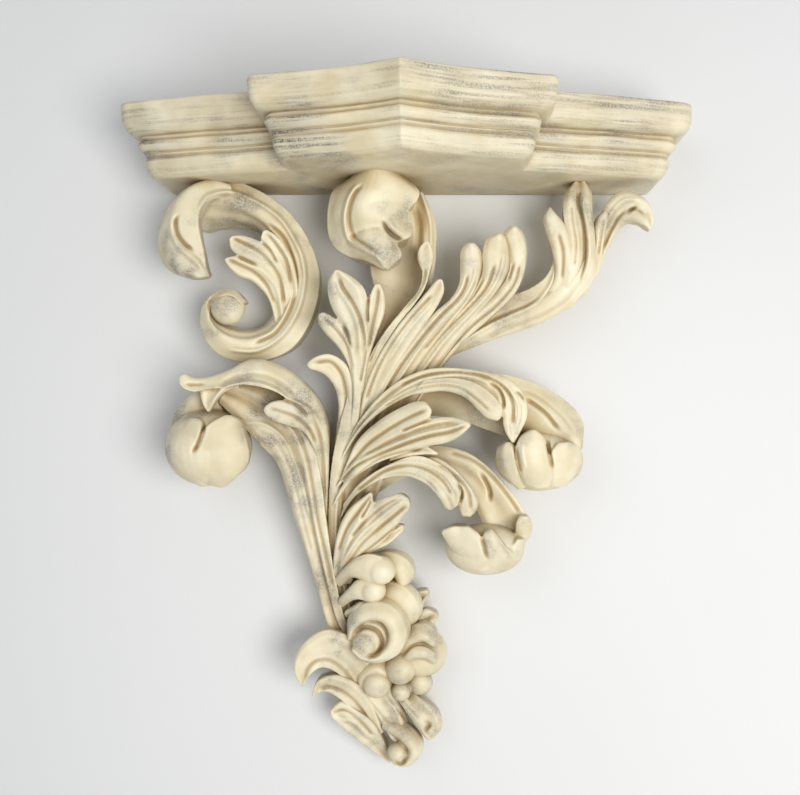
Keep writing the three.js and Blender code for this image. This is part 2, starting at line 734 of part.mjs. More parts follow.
      tipRelief: [0, 0.8, 1, 0.8, 0],
      thick: 12,
    },
  ],
  lower_right_bud: [
    { ball: [42.5, -74.5, 29, 13], squash: [1.42, 1.25, 0.92] },
    {
      left: [[36, -84, 36], [28, -77.5, 38], [22.8, -70.5, 41], [21, -65.5, 43], [25.5, -63.3, 44]],
      right: [
        [46, -84.5, 42], [44.5, -79, 46], [42, -72.5, 48], [39.5, -67, 47], [34.5, -63.3, 45],
      ],
      relief: [0, 1.2, 2.4, 1.2, 0],
      tipRelief: [0, 0.6, 0, 0.6, 0],
      thick: 14,
    },
    {
      left: [[45, -85, 40], [43, -79, 46], [41.2, -72, 48], [41.8, -67, 47], [44, -64.8, 45]],
      right: [[57, -83, 35], [58, -78.5, 40], [52.5, -73, 45], [49, -68, 46], [46.5, -65, 45]],
      relief: [0, 0.8, 1.8, 1.4, 0],
      tipRelief: [0, 1, 2, 1, 0],
      thick: 14,
    },
    {
      left: [[50, -85, 34], [54, -79, 41], [56.5, -73, 41], [58.5, -69.5, 40]],
      right: [[59, -82, 32], [61.5, -77, 34], [62, -72, 35], [62.5, -69, 37]],
      relief: [0, 0.8, 1.4, 0.8, 0],
      thick: 12,
    },
    {
      left: [[54, -76, 28], [57.5, -69, 33], [58, -62, 36], [60, -57.5, 36]],
      right: [[61, -75, 28], [64.5, -69, 32], [66.5, -63, 34], [64.5, -58, 36]],
      relief: [0, 1, 1.6, 1, 0],
      thick: 12,
    },
  ],
  lower_right_stem: [
    {
      left: [
        [-18, -52, 16], [0, -40, 20], [14, -38, 23], [26, -42, 25], [34, -49, 26], [39, -57, 27],
        [42, -65, 28], [46, -72, 28], [52, -77, 28],
      ],
      right: [
        [-12, -38, 16], [4, -24, 20], [20, -22.8, 24], [34, -26.3, 27], [46, -35, 29],
        [55, -45, 31], [62, -55, 31], [66, -62, 31], [65.5, -69, 31],
      ],
      relief: [0, 2, 1.6, 2, 0],
      tipRelief: [0, 0, -2, 0, 0],
      thick: 24,
    },
  ],
  // fan of long leaves rising behind the trefoil
  small_left_curl: [
    {
      left: [
        [-34.5, -45, 20], [-32.5, -18, 24], [-31, -3, 27], [-32.8, 6, 29], [-37, 12, 31],
        [-41.5, 14.5, 33], [-45, 15.5, 35], [-46.8, 17.5, 35],
      ],
      right: [
        [-27, -45, 22], [-24, -18, 27], [-23, 0, 30], [-23.5, 10, 32], [-27.5, 18.5, 34],
        [-35, 23, 36], [-42, 21.8, 37], [-46, 19, 36],
      ],
      relief: CHANNEL,
      tipRelief: [0.4, 0.8, 0.4, 0.8, 0],
      thick: 14,
    },
  ],
  fan_leaf_1: [
    {
      left: [
        [-27, -25, 25], [-21, 5, 31], [-15, 22.5, 34], [-7, 35.5, 36], [2, 46.5, 38], [9, 55, 39],
        [11, 63, 40], [8.6, 71, 41], [9.7, 76.5, 42], [13, 79.8, 43],
      ],
      right: [
        [-21, -25, 24], [-16, 5, 30], [-9, 23.5, 33], [0, 38, 35], [8, 48.5, 37], [12.8, 56.5, 38],
        [15, 64, 39], [16.9, 71, 40], [16, 76, 42], [14.2, 79.5, 43],
      ],
      relief: [0.8, 0.3, -0.3, 0.6, 0],
      tipRelief: [0.2, 0.8, 0.2, 0.8, 0],
      thick: 14,
    },
  ],
  fan_leaf_2: [
    {
      left: [
        [-25, -38, 24], [-18.5, 4, 31], [-10.5, 22.5, 35], [0, 38.5, 37.5], [8, 48, 39],
        [14, 55, 40], [18, 59.8, 41.5], [20, 60.7, 42],
      ],
      right: [
        [-18, -38, 24], [-9, 2, 31], [0, 18.5, 34], [10, 34, 36], [17, 44, 38], [21.2, 51.5, 39],
        [22.2, 56, 40.5], [21.3, 60.2, 42],
      ],
      relief: CHANNEL,
      tipRelief: [0, 0.8, 0, 0.8, 0],
      thick: 14,
    },
  ],
  fan_leaf_3: [
    {
      left: [
        [-23, -46, 24], [-10, 6, 32], [4, 27, 36], [17, 43, 38.5], [26, 51, 40], [30, 59, 41],
        [30.3, 68, 43], [31, 75, 45], [34, 78.5, 46],
      ],
      right: [
        [-15, -46, 24], [1, 0, 31], [15, 23.5, 34], [27.5, 39, 36], [35.5, 50, 38], [40, 59, 39],
        [41.8, 68, 41], [40.3, 75, 44], [37, 78.5, 46],
      ],
      relief: MIDRIB,
      tipRelief: FINGER,
      thick: 16,
    },
  ],
  fan_leaf_4: [
    {
      left: [
        [-21, -52, 22], [-4, 5, 30], [14, 28, 34], [28, 44, 37], [38, 55, 39], [41.5, 65, 41],
        [41.5, 73, 43], [44, 80.5, 44.5], [48.5, 83.2, 45],
      ],
      right: [
        [-13, -52, 22], [7, -2, 29], [24, 23, 32], [39, 41.5, 34], [49.5, 54, 36], [55, 64, 38],
        [56, 73, 40], [54, 80.3, 43], [50.8, 83.2, 45],
      ],
      relief: MIDRIB,
      tipRelief: FINGER,
      thick: 16,
    },
  ],
  fan_leaf_5: [
    {
      left: [
        [-20, -56, 20], [2, 3, 28], [22, 30, 32], [38, 44, 35], [50, 55, 37], [55.5, 65, 39],
        [54, 75, 41], [51.8, 82.5, 42.5], [55.5, 86.9, 43.5],
      ],
      right: [
        [-15, -56, 18], [9, -3, 25], [30, 26, 28], [46, 40.5, 31], [58.5, 53, 33], [63.3, 64, 35],
        [64.5, 75, 38], [62.3, 83, 41], [58.5, 86.9, 43.5],
      ],
      relief: CHANNEL,
      tipRelief: FINGER,
      thick: 16,
    },
  ],
  // tall plume on the right, up to the shelf
  plume_tip_1: [
    {
      left: [
        [70, 47, 27], [77.3, 62, 34], [76, 75, 37.5], [72.8, 85, 38], [71.5, 91.5, 38],
        [73.8, 96.2, 37],
      ],
      right: [
        [82, 47, 27], [87, 62, 35], [86, 78, 38], [83.5, 87, 38.5], [79.5, 92.5, 38],
        [75.8, 96.2, 37],
      ],
      relief: [0, 0.8, 0, 0.8, 0],
      tipRelief: FINGER,
      thick: 14,
    },
  ],
  plume_tip_2: [
    {
      left: [
        [74, 42, 24], [83, 62, 35], [84.5, 80, 38], [82, 90.5, 38], [81.6, 98, 36],
        [82.8, 104.5, 32], [86.2, 108.6, 29],
      ],
      right: [
        [88, 48, 24], [97.5, 64, 32], [98, 80, 34.5], [97, 91, 34.5], [96.6, 99, 33],
        [96, 105, 31], [93.2, 109, 29],
      ],
      relief: [0, 1, -0.6, 1, 0],
      tipRelief: [-1, 1.2, 0.2, 1.2, -1],
      thick: 16,
    },
  ],
  plume_tip_3: [
    {
      left: [
        [86, 48, 22], [94, 64, 30], [97.3, 78, 33], [97, 86, 34], [98.5, 91.8, 34],
        [101.8, 94.7, 34],
      ],
      right: [
        [94, 54, 22], [100.5, 67, 29], [102.3, 78, 32], [104, 86, 33], [105.2, 91, 34],
        [103.8, 94.5, 34],
      ],
      relief: CHANNEL,
      tipRelief: FINGER,
      thick: 12,
    },
  ],
  plume_curl: [
    {
      left: [
        [93, 60, 26], [98, 78, 28], [100, 92, 30], [104.5, 100, 32], [111, 104.8, 33],
        [118.5, 103.3, 34], [124.5, 98.5, 34], [126.7, 90, 35], [125.5, 85, 36],
      ],
      right: [
        [99, 62, 25], [103, 73, 26], [107.5, 81.5, 28], [111, 86.3, 31], [115.5, 88.5, 34],
        [119, 88.3, 36], [122, 87.3, 37], [124, 85.6, 36.5], [124.6, 84.3, 36],
      ],
      relief: [0, 1, 0, 1, 0],
      tipRelief: [0, 1.6, 0, 1, 0],
      thick: 13,
    },
  ],
  plume_stem: [
    {
      left: [
        [-20, -14, 18], [2, 14, 22], [22, 30, 25], [40, 42, 27], [54, 51.5, 28], [65, 56, 29],
        [73, 62, 31], [77.3, 71, 33], [79, 80, 33],
      ],
      right: [
        [-14, -22, 16], [8, 4, 18], [22, 19.5, 21], [37, 26.3, 24], [52, 32, 26], [67, 36.8, 28],
        [82.5, 45, 29], [94.8, 57, 29], [101.5, 71, 29],
      ],
      relief: [0, 0.5, 2.5, 2, 0],
      tipRelief: [0, 0.5, 2.5, 1.5, 0],
      thick: 22,
    },
  ],
  // leaf and beads above the snail
  lower_leaf: [
    { at: [[-32, -98, 20, 3], [-28, -78, 28, 5.4], [-19, -62, 35, 7], [-8, -54, 39, 5.2], [4, -50.5, 41, 1.2]] },
    { at: [[-28, -88, 20, 3], [-16, -71, 31, 4.6], [1.5, -64.5, 35, 1]] },
  ],
  upper_bead: [{ at: [[-28, -92, 24, 2.5], [-21, -82, 33, 4], [-10, -85, 35, 5.6]], relief: CUSHION }],
  lower_bead: [
    {
      left: [[-29, -104, 22], [-22, -100, 29], [-16, -101, 32]],
      right: [[-27, -97, 22], [-22, -90.3, 30], [-15, -89, 33]],
      relief: [0, 2, 3.4, 2, 0],
      tipRelief: [0, 0.6, 1, 0.6, 0],
      thick: 13,
    },
    { ball: [-13.5, -95, 29, 6.2] },
    {
      left: [[-27, -109, 22], [-20, -107, 28], [-15, -106, 28]],
      right: [[-25, -104, 22], [-20, -101, 29], [-15, -101, 29]],
      relief: [0, 1.4, 2.4, 1.4, 0],
      thick: 12,
    },
  ],
  back_lobe_1: [
    {
      at: [[-17, -94, 16, 5], [-9, -84.5, 24, 7], [-1, -86, 26, 6.5], [2, -94, 24, 3.5]],
      relief: CUSHION,
      thick: 12,
    },
  ],
  back_lobe_2: [
    {
      at: [[-14, -110, 16, 5], [-6, -99, 24, 7], [1, -103, 26, 7], [3, -114, 23, 4]],
      relief: CUSHION,
      thick: 12,
    },
  ],
  back_lobe_3: [
    {
      left: [[2, -112, 14], [4, -102, 19], [7.5, -96, 20], [13.5, -94.8, 19]],
      right: [[12, -112, 14], [11.5, -105, 18], [13, -101, 19], [15, -98, 19]],
      relief: CHANNEL,
      thick: 12,
    },
  ],
  back_lobe_4: [
    {
      left: [[2, -120, 14], [8, -108.5, 20], [13, -104.5, 21], [18.5, -106.3, 20]],
      right: [[8, -126, 14], [13, -117, 19], [16.5, -113, 20], [19.7, -109, 20]],
      relief: CHANNEL,
      thick: 12,
    },
  ],
  // snail volute over the tail
  snail_volute: [
    { ball: [-12.7, -117, 19, 13.2] },
    {
      at: [
        [-25.2, -119, 27, 1.8], [-23, -112, 30, 3.6], [-16, -107.6, 33, 4.6],
        [-7.5, -108.8, 34, 5], [-3, -116, 34, 4.8], [-5, -124.5, 33, 3.8], [-12, -129, 32, 2.6],
        [-19.5, -128.4, 31, 2], [-24.4, -124, 30, 1.4],
      ],
      relief: CUSHION,
      thick: 14,
    },
    { ball: [-17.2, -121.8, 28, 6.2] },
  ],
  cluster_bead_1: [
    { ball: [-11.5, -142, 22, 6.6] },
    {
      at: [[-16, -150, 14, 4], [-19, -140, 20, 3.4], [-12, -134, 23, 3.4], [-5, -137, 22, 2]],
      relief: CUSHION,
    },
  ],
  cluster_bead_2: [
    { ball: [0, -134, 20, 7.8] },
  ],
  cluster_bead_3: [
    { ball: [10, -141, 15, 6.2] },
    { ball: [0.5, -145.5, 18, 4.8] },
  ],
  cluster_lobe: [
    { ball: [10, -126, 14, 12], squash: [1.12, 0.9, 1] },
    {
      at: [[-3, -128, 18, 4], [5, -120, 25, 5], [12, -118, 27, 4.6], [18, -123, 25, 3]],
      relief: CUSHION,
      thick: 14,
    },
    {
      at: [[0, -131, 18, 4], [7, -126.5, 26, 4.6], [14, -127, 26, 4.6], [18, -131, 22, 3]],
      relief: CUSHION,
      thick: 14,
    },
  ],
  // leafy tail
  tail_leaf_1: [
    {
      left: [
        [-16, -158, 14], [-25, -143, 20], [-34, -135, 25], [-40, -134, 28], [-45, -137.5, 30],
        [-47, -141, 29], [-48.6, -143.8, 28],
      ],
      right: [
        [-10, -146, 16], [-14, -130, 22], [-24, -119, 26], [-37, -115, 29], [-49, -122.5, 30],
        [-53.4, -133, 30], [-50.5, -142, 28],
      ],
      relief: [0.8, 0.2, 0.6, 1.2, 0],
      thick: 14,
    },
  ],
  tail_leaf_2: [
    {
      left: [
        [-14, -169, 12], [-22, -159, 17], [-30, -149.7, 22], [-37.5, -145.7, 24],
        [-42, -147, 24.5], [-44, -148.8, 24],
      ],
      right: [
        [-8, -166, 13], [-14, -150, 18], [-24, -140.5, 23], [-34, -137.5, 25], [-41.5, -140.5, 25],
        [-44, -147, 24],
      ],
      relief: [0.6, 0.2, 0.6, 1, 0],
      thick: 13,
    },
  ],
  tail_leaf_3: [
    {
      left: [
        [-5, -182, 10], [-17, -173.3, 15], [-27, -165.3, 18], [-33.5, -159.3, 19],
        [-35.2, -156.5, 19],
      ],
      right: [
        [-6, -174, 12], [-13, -162, 17], [-22, -155, 20], [-30, -150.7, 20], [-34.6, -155, 19],
      ],
      relief: [0.6, 0.2, 0.4, 0.8, 0],
      thick: 12,
    },
  ],
  tail_curl: [
    {
      at: [
        [-8, -162, 14, 4], [2, -168, 19, 4.6], [7, -175, 20, 4], [3, -181.5, 18, 3],
        [-4, -180.5, 17, 1.8],
      ],
      relief: CUSHION,
      thick: 13,
    },
    { ball: [-1.5, -176.3, 16, 5] },
  ],
  tail_knob: [
    {
      left: [[-4, -146, 14], [0, -152, 18], [5, -159, 20], [10, -166, 19], [13, -169.5, 17]],
      right: [
        [7, -146, 14], [14, -151.5, 19], [20.5, -158, 20], [20.8, -164.5, 19], [16.5, -169.3, 17],
      ],
      relief: [0, 1.5, 0.2, 2, 0],
      tipRelief: [0, 1.5, 2, 1.5, 0],
      thick: 14,
    },
  ],
  tail_stem: [
    {
      at: [
        [-30, -104, 14, 4], [-16, -125, 17, 8], [-12, -142, 18, 8.5], [-5, -158, 17, 7],
        [1, -172, 14, 5],
      ],
      relief: [-3, 0.8, -0.6, 0.8, -3],
      thick: 18,
    },
  ],
};

const DOWELS = {
  dowel_c_scroll: [-80, -17],
  dowel_centre_curl: [-18, -34],
  dowel_centre_stem: [1, -13],
};

// ---------- assembly ----------
function dowelSolid([x, y], grow = 0) {
  return cylinderAlong("z", DOWEL_RADIUS, 2 * DOWEL_HALF_LENGTH, [x, y, -TOP], grow);
}

function cutFor(solid, rooms) {
  const bounds = solid.boundingBox();
  const meets = (room) => {
    const other = room.boundingBox();
    return [0, 1, 2].every((k) => bounds.min[k] < other.max[k] && other.min[k] < bounds.max[k]);
  };
  return rooms.filter(meets).reduce((rest, room) => rest.subtract(room), solid);
}

function assemble() {
  const pieces = [];
  const rooms = [];
  const add = (name, solid, material, room) => {
    const cut = cutFor(solid, rooms);
    pieces.push([name, largestBody(cut), material]);
    rooms.push(room);
  };
  for (const side of [-1, 1]) {
    const label = side < 0 ? "left" : "right";
    screwPlaces(side * PLATE_X).forEach((x, i) =>
      add(`hanger_screw_${label}_${i + 1}`, screw(x), STEEL, screw(x, JOINT_GAP)),
    );
    const x = side * PLATE_X;
    add(`hanger_plate_${label}`, hangerPlate(x), STEEL, hangerPlate(x, JOINT_GAP));
  }
  for (const [name, place] of Object.entries(DOWELS))
    add(name, dowelSolid(place), BEECH, dowelSolid(place, JOINT_GAP));
  for (const [name, solid] of Object.entries(shelfPieces())) add(name, solid, IVORY, solid);
  rooms.push(box([-150, -120, -TOP - JOINT_GAP], [150, 0, TOP]));
  for (const [name, lobes] of Object.entries(SPRAY)) {
    const solid = carve(lobes);
    add(name, solid.subtract(BEHIND_WALL), IVORY, carve(lobes, JOINT_GAP));
  }
  return pieces;
}

const group = new THREE.Group();
for (const [name, solid, material] of assemble()) {
  const mesh = new THREE.Mesh(geometryFrom(solid), material);
  mesh.name = name;
  group.add(mesh);
}

export default group;
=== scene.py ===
import math

import bpy
import numpy as np
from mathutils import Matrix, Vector, noise as turbulence


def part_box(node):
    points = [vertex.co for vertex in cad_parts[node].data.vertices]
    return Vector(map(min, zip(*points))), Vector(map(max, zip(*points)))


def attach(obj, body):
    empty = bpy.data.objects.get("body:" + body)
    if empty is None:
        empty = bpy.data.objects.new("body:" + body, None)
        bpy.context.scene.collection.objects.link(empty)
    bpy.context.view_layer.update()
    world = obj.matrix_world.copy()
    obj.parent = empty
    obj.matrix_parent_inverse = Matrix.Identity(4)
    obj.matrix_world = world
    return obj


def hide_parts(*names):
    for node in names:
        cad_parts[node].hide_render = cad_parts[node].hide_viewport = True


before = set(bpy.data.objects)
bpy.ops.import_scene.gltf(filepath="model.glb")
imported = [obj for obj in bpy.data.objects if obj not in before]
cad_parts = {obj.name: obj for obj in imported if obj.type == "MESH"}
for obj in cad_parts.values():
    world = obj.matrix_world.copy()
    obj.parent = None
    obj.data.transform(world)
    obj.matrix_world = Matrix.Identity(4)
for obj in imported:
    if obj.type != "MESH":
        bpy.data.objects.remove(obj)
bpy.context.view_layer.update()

# Everything below is drawn in millimetres in the frame of the CAD model and scaled once.
MM = 0.001
CORE_LOW, CORE_HIGH = (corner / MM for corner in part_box("shelf_core"))
SHELF_TOP = CORE_HIGH.z
SHELF_BOTTOM = CORE_LOW.z

# The spray is drawn on the wall as the eye sees it. A point that stands off the wall moves along
# its line of sight, so that the drawing keeps its outline whatever depth a leaf is given.
EYE = np.array([18.0, -480.0, -118.75])
DRAWING_CENTRE = (-5.0, -118.75)

VOXEL = 0.5
STEPS_PER_MM = 1.6
FACE_POINTS = 25
BACK_POINTS = 9
DEEPEST_CREASE = 1.2

CUSHION = (-3, 0.2, 2, 2.5, 2, 0.2, -3)
RIDGED = (-1.2, -0.9, -0.4, 1.2, -0.4, -0.9, -1.2)
CHANNEL = (-0.5, 0.6, 0.0, -0.4, 0.0, 0.6, -0.5)
FINGER = (-2.0, 0.6, 1.6, 2.0, 1.6, 0.6, -2.0)
MIDRIB = (-0.5, 0.5, 0.0, 0.6, 0.0, 0.5, -0.5)


# ---------- curves ----------
def sight(u, v, depth):
    on_wall = np.array([u + DRAWING_CENTRE[0], 0.0, v + DRAWING_CENTRE[1]])
    return on_wall + (EYE - on_wall) * (depth / -EYE[1])


def smooth_curve(points, count):
    """Centripetal Catmull-Rom curve through the points, at even steps of its own length."""
    points = np.asarray(points, dtype=float)
    ends = [2 * points[0] - points[1]], [2 * points[-1] - points[-2]]
    path = np.concatenate([ends[0], points, ends[1]])
    gaps = np.sqrt(np.linalg.norm(np.diff(path[:, :3], axis=0), axis=1)) + 1e-6
    knots = np.concatenate([[0.0], np.cumsum(gaps)])
    dense = np.linspace(knots[1], knots[-2], 24 * len(points))
    place = np.clip(np.searchsorted(knots, dense, side="right") - 1, 1, len(path) - 3)
    t = dense[:, None]
    k = [knots[place + i][:, None] for i in (-1, 0, 1, 2)]
    p = [path[place + i] for i in (-1, 0, 1, 2)]
    a = [blend(p[i], p[i + 1], k[i], k[i + 1], t) for i in range(3)]
    b = [blend(a[i], a[i + 1], k[i], k[i + 2], t) for i in range(2)]
    curve = blend(b[0], b[1], k[1], k[2], t)
    run = np.concatenate([[0], np.cumsum(np.linalg.norm(np.diff(curve[:, :3], axis=0), axis=1))])
    even = np.linspace(0, run[-1], count)
    return np.stack([np.interp(even, run, column) for column in curve.T], axis=1), run[-1]


def blend(first, last, start, end, t):
    return (first * (end - t) + last * (t - start)) / (end - start)


def smooth_values(values, places):
    """Cosine-eased values between evenly spaced stops, for a cross-section's relief."""
    values = np.asarray(values, dtype=float)
    position = (np.asarray(places) + 1) / 2 * (len(values) - 1)
    low = np.clip(np.floor(position).astype(int), 0, len(values) - 2)
    share = position - low
    before = values[np.maximum(low - 1, 0)]
    after = values[np.minimum(low + 2, len(values) - 1)]
    first, last = values[low], values[low + 1]
    slope_in, slope_out = (last - before) / 2, (after - first) / 2
    square, cube = share**2, share**3
    return (
        (2 * cube - 3 * square + 1) * first
        + (cube - 2 * square + share) * slope_in
        + (3 * square - 2 * cube) * last
        + (cube - square) * slope_out
    )


# ---------- carved lobes ----------
# A lobe is (vertices, quads) in millimetres.
def stroke(at, relief=RIDGED, thick=8.0, point=0.6, root=0.0, flutes=0, flute_depth=0.5):
    """One lobe swept along a spine. at: (u, v, depth, half width[, roll in degrees]).

    relief is the height of the face from the left edge to the right edge, looking along the
    spine. point is the power of the tip's taper (0.5 is round, 1 is sharp). root rounds the start
    over that many millimetres. flutes are fine grooves along the face."""
    rows = [list(sight(*p[:3])) + [p[3], p[4] if len(p) > 4 else 0.0] for p in at]
    rough_length = np.linalg.norm(np.diff(np.array(rows)[:, :3], axis=0), axis=1).sum()
    count = int(max(24, rough_length * STEPS_PER_MM))
    curve, length = smooth_curve(rows, count)
    centres, widths, rolls = curve[:, :3], np.maximum(curve[:, 3], 0.3), np.radians(curve[:, 4])
    along = np.gradient(centres, axis=0)
    along /= np.linalg.norm(along, axis=1)[:, None]
    run = np.linspace(0, length, count)
    tip = min(max(widths[-1] * 1.2, 1.0), 0.45 * length)
    fullness = round_end((length - run) / tip, point)
    if root:
        fullness = fullness * round_end(run / root, 0.5)
    across = np.cos(np.linspace(math.pi, 0, FACE_POINTS))
    height = smooth_values(relief, across)
    if flutes:
        height = height - flute_depth * (0.5 - 0.5 * np.cos(2 * math.pi * flutes * (across + 1) / 2))
    back_across = np.linspace(0.86, -0.86, BACK_POINTS)
    back = -thick * (1 - 0.45 * back_across**2)
    rings = []
    normal = np.array([0.0, -1.0, 0.0])
    for centre, forward, width, roll, full in zip(centres, along, widths, rolls, fullness):
        normal = normal - forward * normal.dot(forward)
        normal /= np.linalg.norm(normal)
        side = np.cross(forward, normal)
        face = normal * math.cos(roll) + side * math.sin(roll)
        edge = np.cross(forward, face)
        ring = centre + np.outer(across * width * full, edge) + np.outer(height * full, face)
        under = centre + np.outer(back_across * width * full, edge) + np.outer(back * full, face)
        rings.append(np.concatenate([ring, under]))
    return skin(np.array(rings))


def leaf(first, second, relief=CHANNEL, tip_relief=None, thick=12.0):
    """One lobe between two drawn edges, both lists of (u, v, depth) from the root to the tip.

    The points of the two edges face each other in pairs. relief is the height of the face from
    the viewer's left edge to the right edge, with the root below; tip_relief is what it turns
    into. The body reaches back towards the wall by thick."""
    one = np.array([sight(*p) for p in first])
    two = np.array([sight(*p) for p in second])
    ribs = np.concatenate([(one + two) / 2, (two - one) / 2], axis=1)
    rough_length = np.linalg.norm(np.diff(ribs[:, :3], axis=0), axis=1).sum()
    count = int(max(24, rough_length * STEPS_PER_MM))
    curve = smooth_curve(ribs, count)[0]
    middle, spread = curve[:, :3], curve[:, 3:]
    facing = np.cross(spread, np.gradient(middle, axis=0))
    if facing[:, 1].sum() > 0:
        spread, facing = -spread, -facing
    facing /= np.linalg.norm(facing, axis=1)[:, None] + 1e-9
    half = np.linalg.norm(spread, axis=1)
    fullness = np.clip(half / (0.5 * half.max()), 0.02, 1) ** 0.6
    share = np.linspace(0, 1, count)[:, None] ** 1.5
    across = np.cos(np.linspace(math.pi, 0, FACE_POINTS))
    height = smooth_values(relief, across) * (1 - share)
    height = (height + smooth_values(tip_relief or relief, across) * share) * fullness[:, None]
    face = middle[:, None] + across[None, :, None] * spread[:, None]
    face = face + height[..., None] * facing[:, None]
    back_across = np.linspace(0.85, -0.85, BACK_POINTS)
    back = middle[:, None] + back_across[None, :, None] * spread[:, None]
    drop = thick * fullness[:, None] * (1 - 0.3 * back_across[None, :] ** 2)
    back = back + drop[..., None] * np.array([0.0, 1.0, 0.0])
    return skin(np.concatenate([face, back], axis=1))


def round_end(share, power):
    share = np.clip(share, 0, 1)
    return np.maximum((1 - (1 - share) ** 2) ** power, 0.03)


def skin(rings):
    """Closed quads over a stack of rings, with a fan at each end."""
    stack, count = rings.shape[:2]
    vertices = rings.reshape(-1, 3)
    vertices[:, 1] = np.minimum(vertices[:, 1], 0)
    i, j = np.meshgrid(np.arange(stack - 1), np.arange(count), indexing="ij")
    a = (i * count + j).ravel()
    b = (i * count + (j + 1) % count).ravel()
    quads = [tuple(q) for q in np.stack([a, b, b + count, a + count], axis=1)]
    first = tuple(range(count - 1, -1, -1))
    last = tuple(range((stack - 1) * count, stack * count))
    return vertices, quads + [first, last]


def ball(u, v, depth, radius, squash=(1, 1, 1)):
    rings = []
    for tilt in np.linspace(0.02, math.pi - 0.02, 24):
        turn = np.linspace(0, 2 * math.pi, 32, endpoint=False)
        ring = np.stack(
            [np.sin(tilt) * np.cos(turn), np.sin(tilt) * np.sin(turn), np.full(32, -np.cos(tilt))],
            axis=1,
        )
        rings.append(sight(u, v, depth) + ring * radius * np.array(squash))
    return skin(np.array(rings))


# ---------- pieces ----------
def mesh_object(name, vertices, faces):
    mesh = bpy.data.meshes.new(name)
    mesh.from_pydata([tuple(v) for v in np.asarray(vertices) * MM], [], faces)
    mesh.update()
    piece = bpy.data.objects.new(name, mesh)
    bpy.context.scene.collection.objects.link(piece)
    return piece


def melt(piece, voxel):
    """Joins the lobes of a piece into one skin, as if cast, by voxel remeshing."""
    remesh = piece.modifiers.new("melt", "REMESH")
    remesh.mode = "VOXEL"
    remesh.voxel_size = voxel * MM
    remesh.use_smooth_shade = True
    graph = bpy.context.evaluated_depsgraph_get()
    melted = bpy.data.meshes.new_from_object(piece.evaluated_get(graph))
    piece.modifiers.clear()
    piece.data = melted


class Web:
    """A mesh's points and edges as arrays, for smoothing."""

    def __init__(self, mesh):
        self.mesh = mesh
        self.count = len(mesh.vertices)
        self.points = self.read("co")
        edges = np.empty(len(mesh.edges) * 2, dtype=np.int64)
        mesh.edges.foreach_get("vertices", edges)
        self.first, self.last = edges.reshape(-1, 2).T
        ends = np.bincount(self.first, minlength=self.count) + np.bincount(self.last, minlength=self.count)
        self.degree = np.maximum(ends, 1)

    def read(self, kind):
        values = np.empty(self.count * 3)
        self.mesh.vertices.foreach_get(kind, values)
        return values.reshape(-1, 3)

    def average(self, values):
        if values.ndim == 2:
            return np.stack([self.average(column) for column in values.T], axis=1)
        forward = np.bincount(self.first, weights=values[self.last], minlength=self.count)
        backward = np.bincount(self.last, weights=values[self.first], minlength=self.count)
        return (forward + backward) / self.degree


def relax(mesh, rounds):
    web = Web(mesh)
    points = web.points
    for _ in range(rounds):
        points = (points + web.average(points)) / 2
    mesh.vertices.foreach_set("co", points.ravel())
    mesh.update()


def store_hollows(mesh):
    """Stores how sharply each point lies in a crease (above 0) or on a crest (below 0)."""
    web = Web(mesh)
    soft = web.points
    for _ in range(4):
        soft = web.average(soft)
    hollow = ((soft - web.points) * web.read("normal")).sum(axis=1) / MM
    hollow = np.where(np.abs(hollow) > DEEPEST_CREASE, 0, hollow)
    for _ in range(2):
        hollow = web.average(hollow)
    layer = mesh.attributes.new("hollow", "FLOAT", "POINT")
    layer.data.foreach_set("value", hollow.astype(np.float32))


def chisel(mesh, cuts):
    """Cuts grooves (or raises ridges, with a negative depth) along lines drawn on the front.

    A cut is (points, half width, depth), its points (u, v) as in the drawing."""
    count = len(mesh.vertices)
    points, normals = np.empty(count * 3), np.empty(count * 3)
    mesh.vertices.foreach_get("co", points)
    mesh.vertices.foreach_get("normal", normals)
    points, normals = points.reshape(-1, 3) / MM, normals.reshape(-1, 3)
    sight_line = points - EYE
    drawn = (EYE + sight_line * (-EYE[1] / sight_line[:, 1])[:, None])[:, [0, 2]] - DRAWING_CENTRE
    sight_line /= np.linalg.norm(sight_line, axis=1)[:, None]
    facing = np.clip(-(normals * sight_line).sum(axis=1) * 2, 0, 1)
    for line, width, depth in cuts:
        path, length = smooth_curve([(u, v, 0.0) for u, v in line], 40)
        start, step = path[:-1, :2], np.diff(path[:, :2], axis=0)
        low, high = path[:, :2].min(axis=0) - width, path[:, :2].max(axis=0) + width
        near = np.flatnonzero(np.all((drawn > low) & (drawn < high), axis=1))
        offset = drawn[near, None] - start[None]
        share = np.clip((offset * step).sum(axis=2) / (step**2).sum(axis=1), 0, 1)
        gaps = np.linalg.norm(offset - share[..., None] * step, axis=2)
        best = gaps.argmin(axis=1)
        rows = np.arange(len(near))
        place = (best + share[rows, best]) / len(step)
        gap = np.clip(gaps[rows, best] / width, 0, 1)
        taper = np.clip(np.minimum(place, 1 - place) * length / (2.5 * width) + 0.1, 0, 1)
        push = depth * taper * (1 - gap**2) ** 2 * facing[near]
        points[near] += sight_line[near] * push[:, None]
    mesh.vertices.foreach_set("co", (points * MM).ravel())
    mesh.update()


def finish_piece(piece, material, *nodes):
    piece.data.materials.clear()
    piece.data.materials.append(material)
    piece.data.polygons.foreach_set("use_smooth", np.ones(len(piece.data.polygons), dtype=bool))
    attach(piece, "root")
    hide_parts(*nodes)


